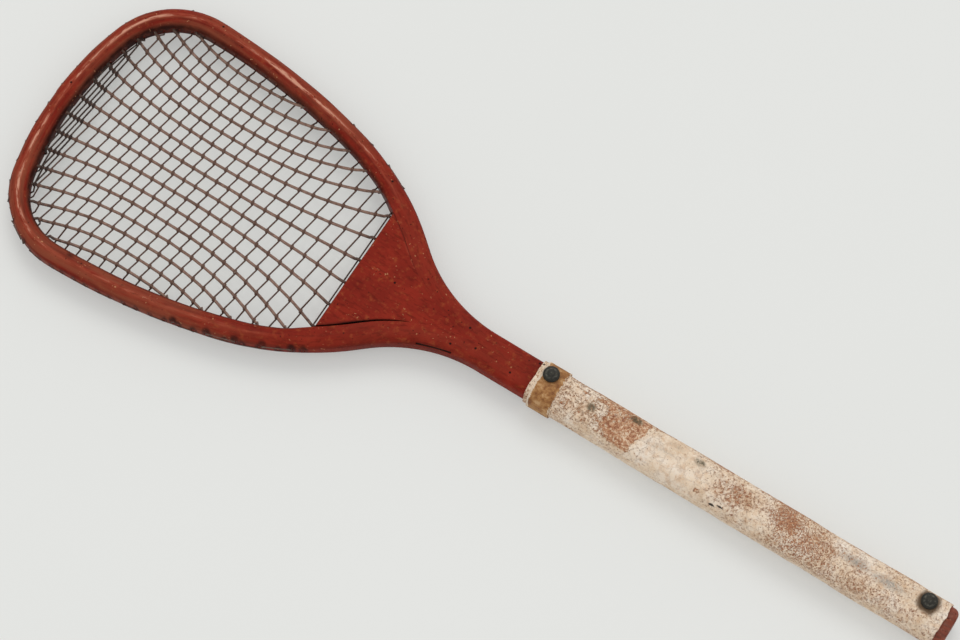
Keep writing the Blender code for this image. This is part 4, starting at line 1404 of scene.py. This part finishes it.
def build_tack(name, x, seat):
    """Domed iron tack head, a little dented, on the stub of its shank."""
    iron = Skin()
    for r, z in tack_profile():
        iron.ring()
        for k in range(TACK_SIDES):
            a = 2 * math.pi * k / TACK_SIDES
            px, py = r * math.cos(a), r * math.sin(a)
            dent = TACK_DENT * wave(px + x, py, z, 260, 3) if z > 0 else 0.0
            iron.point(place(x + px, TACK_SIDE + py, seat + CLEARANCE + z + dent - TACK_SUNK),
                       ring=r / TACK_RADIUS if z > 0 else 1.0)
    return iron.piece(name, IRON, angle=60.0)


# Pieces, and the CAD nodes that they stand for

bed = Bed()
hoop = build_hoop(bed.holes())
wedge = build_wedge()
skin = string_skin()
cross_route = bed.across_route(bed.crosses, "cross")
treble_route = bed.across_route(bed.trebles, "treble")
mains = build_string("main_strings", "main", bed.main_route(), MAIN_GUT, skin)
crosses = build_string("cross_strings", "cross", cross_route, CROSS_GUT, skin)
trebles = build_string("treble_strings", "treble", treble_route, TREBLE_GUT, skin)
throat = build_string("throat_strings", "throat", bed.throat_route(), THROAT_GUT, skin)
sleeve = build_sleeve()
collar = build_collar()
front = build_cheek("handle_front_wood", 1)
back = build_cheek("handle_back_wood", -1)
tack_upper = build_tack("tack_upper_iron", TACK_UPPER, GRIP_HALF_DEPTH + COLLAR_PROUD)
tack_lower = build_tack("tack_lower_iron", TACK_LOWER, GRIP_HALF_DEPTH)

for piece, node, slot in (
    (hoop, "frame_hoop", "red_wood"),
    (wedge, "throat_wedge", "red_wood"),
    (mains, "main_string", "main_gut"),
    (crosses, "cross_string", "cross_gut"),
    (trebles, "treble_string", "cross_gut"),
    (throat, "throat_string", "main_gut"),
    (sleeve, "grip_sleeve", "grip_leather"),
    (collar, "grip_collar", "collar_leather"),
    (front, "handle_cheek_front", "handle_wood"),
    (back, "handle_cheek_back", "handle_wood"),
    (tack_upper, "tack_upper", "tack_iron"),
    (tack_lower, "tack_lower", "tack_iron"),
):
    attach(piece, "root")
    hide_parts(node)


# Floor, light and camera

FLOOR_HALF = 4.0
FLOOR_TONES = ((0.3, (0.822, 0.832, 0.808)), (0.7, (0.838, 0.845, 0.822)))
FLOOR_GLOW = (0.765, 0.775, 0.755)
FLOOR_LIFT = 0.4
SUN_STRENGTH = 0.72
SUN_SPREAD = math.radians(32)
SUN_COLOR = (1.0, 0.985, 0.96)
SUN_RIGHT = 0.10
SUN_AWAY = 0.74
FILL_COLOR = (0.985, 0.985, 0.99)
FILL_STRENGTH = 0.765
BACKDROP = (0.76, 0.775, 0.755)
CAMERA_TARGET = Vector((-0.01834, 0.01666, 0.0135))
CAMERA_TURN = math.radians(32.466)
CAMERA_TILT = math.radians(20.04)
CAMERA_DISTANCE = 2.163
CAMERA_LENS = 124.98
CAMERA_SENSOR = 36.0
CAMERA_REACH = 20.0
RIGHT = Vector((math.cos(CAMERA_TURN), math.sin(CAMERA_TURN), 0.0))
AWAY = Vector((-math.sin(CAMERA_TURN), math.cos(CAMERA_TURN), 0.0))
UP = Vector((0, 0, 1))


def build_floor():
    """Pale paper; its tone in the picture is lifted a little, so that the shadows stay soft."""
    corners = [(x * FLOOR_HALF, y * FLOOR_HALF, 0) for x, y in ((-1, -1), (1, -1), (1, 1), (-1, 1))]
    mesh = bpy.data.meshes.new("floor")
    mesh.from_pydata(corners, [], [(0, 1, 2, 3)])
    p = Paint("floor_paper")
    color = p.ramp(p.noise(p.place(), 3.0, 2.0, 0.5), *FLOOR_TONES)
    mesh.materials.append(p.finish(color, 0.95, None, 0.05))
    glow = p.node("ShaderNodeEmission", 0, {"Color": FLOOR_GLOW})
    p.show("Material Output", p.times(p.seen(), FLOOR_LIFT), glow)
    return link("floor", mesh)


def build_sun():
    """Broad soft light from above and behind the racket."""
    data = bpy.data.lights.new("soft_key", "SUN")
    data.energy, data.angle, data.color = SUN_STRENGTH, SUN_SPREAD, SUN_COLOR
    toward = (RIGHT * SUN_RIGHT + AWAY * SUN_AWAY + UP).normalized()
    link("soft_key", data).rotation_euler = toward.to_track_quat("Z", "Y").to_euler()


def build_world():
    """Even fill light, with a pale backdrop where the camera or a reflection sees past the floor."""
    world = bpy.data.worlds.new("studio")
    bpy.context.scene.world = world
    world.use_nodes = True
    w = Nodes(world.node_tree)
    w.feed(w.tree.nodes["Background"], {"Color": FILL_COLOR, "Strength": FILL_STRENGTH})
    w.show("World Output", w.seen(), w.node("ShaderNodeBackground", 0, {"Color": BACKDROP}))


def build_camera():
    """Camera that looks down on the racket, tilted toward its near side."""
    data = bpy.data.cameras.new("camera")
    data.sensor_width, data.lens, data.clip_end = CAMERA_SENSOR, CAMERA_LENS, CAMERA_REACH
    camera = link("camera", data)
    toward = UP * math.cos(CAMERA_TILT) - AWAY * math.sin(CAMERA_TILT)
    camera.location = CAMERA_TARGET + CAMERA_DISTANCE * toward
    camera.rotation_euler = (camera.location - CAMERA_TARGET).to_track_quat("Z", "Y").to_euler()
    return camera


build_floor()
build_sun()
build_world()
bpy.context.scene.camera = build_camera()
bpy.context.scene.view_settings.view_transform = "Standard"
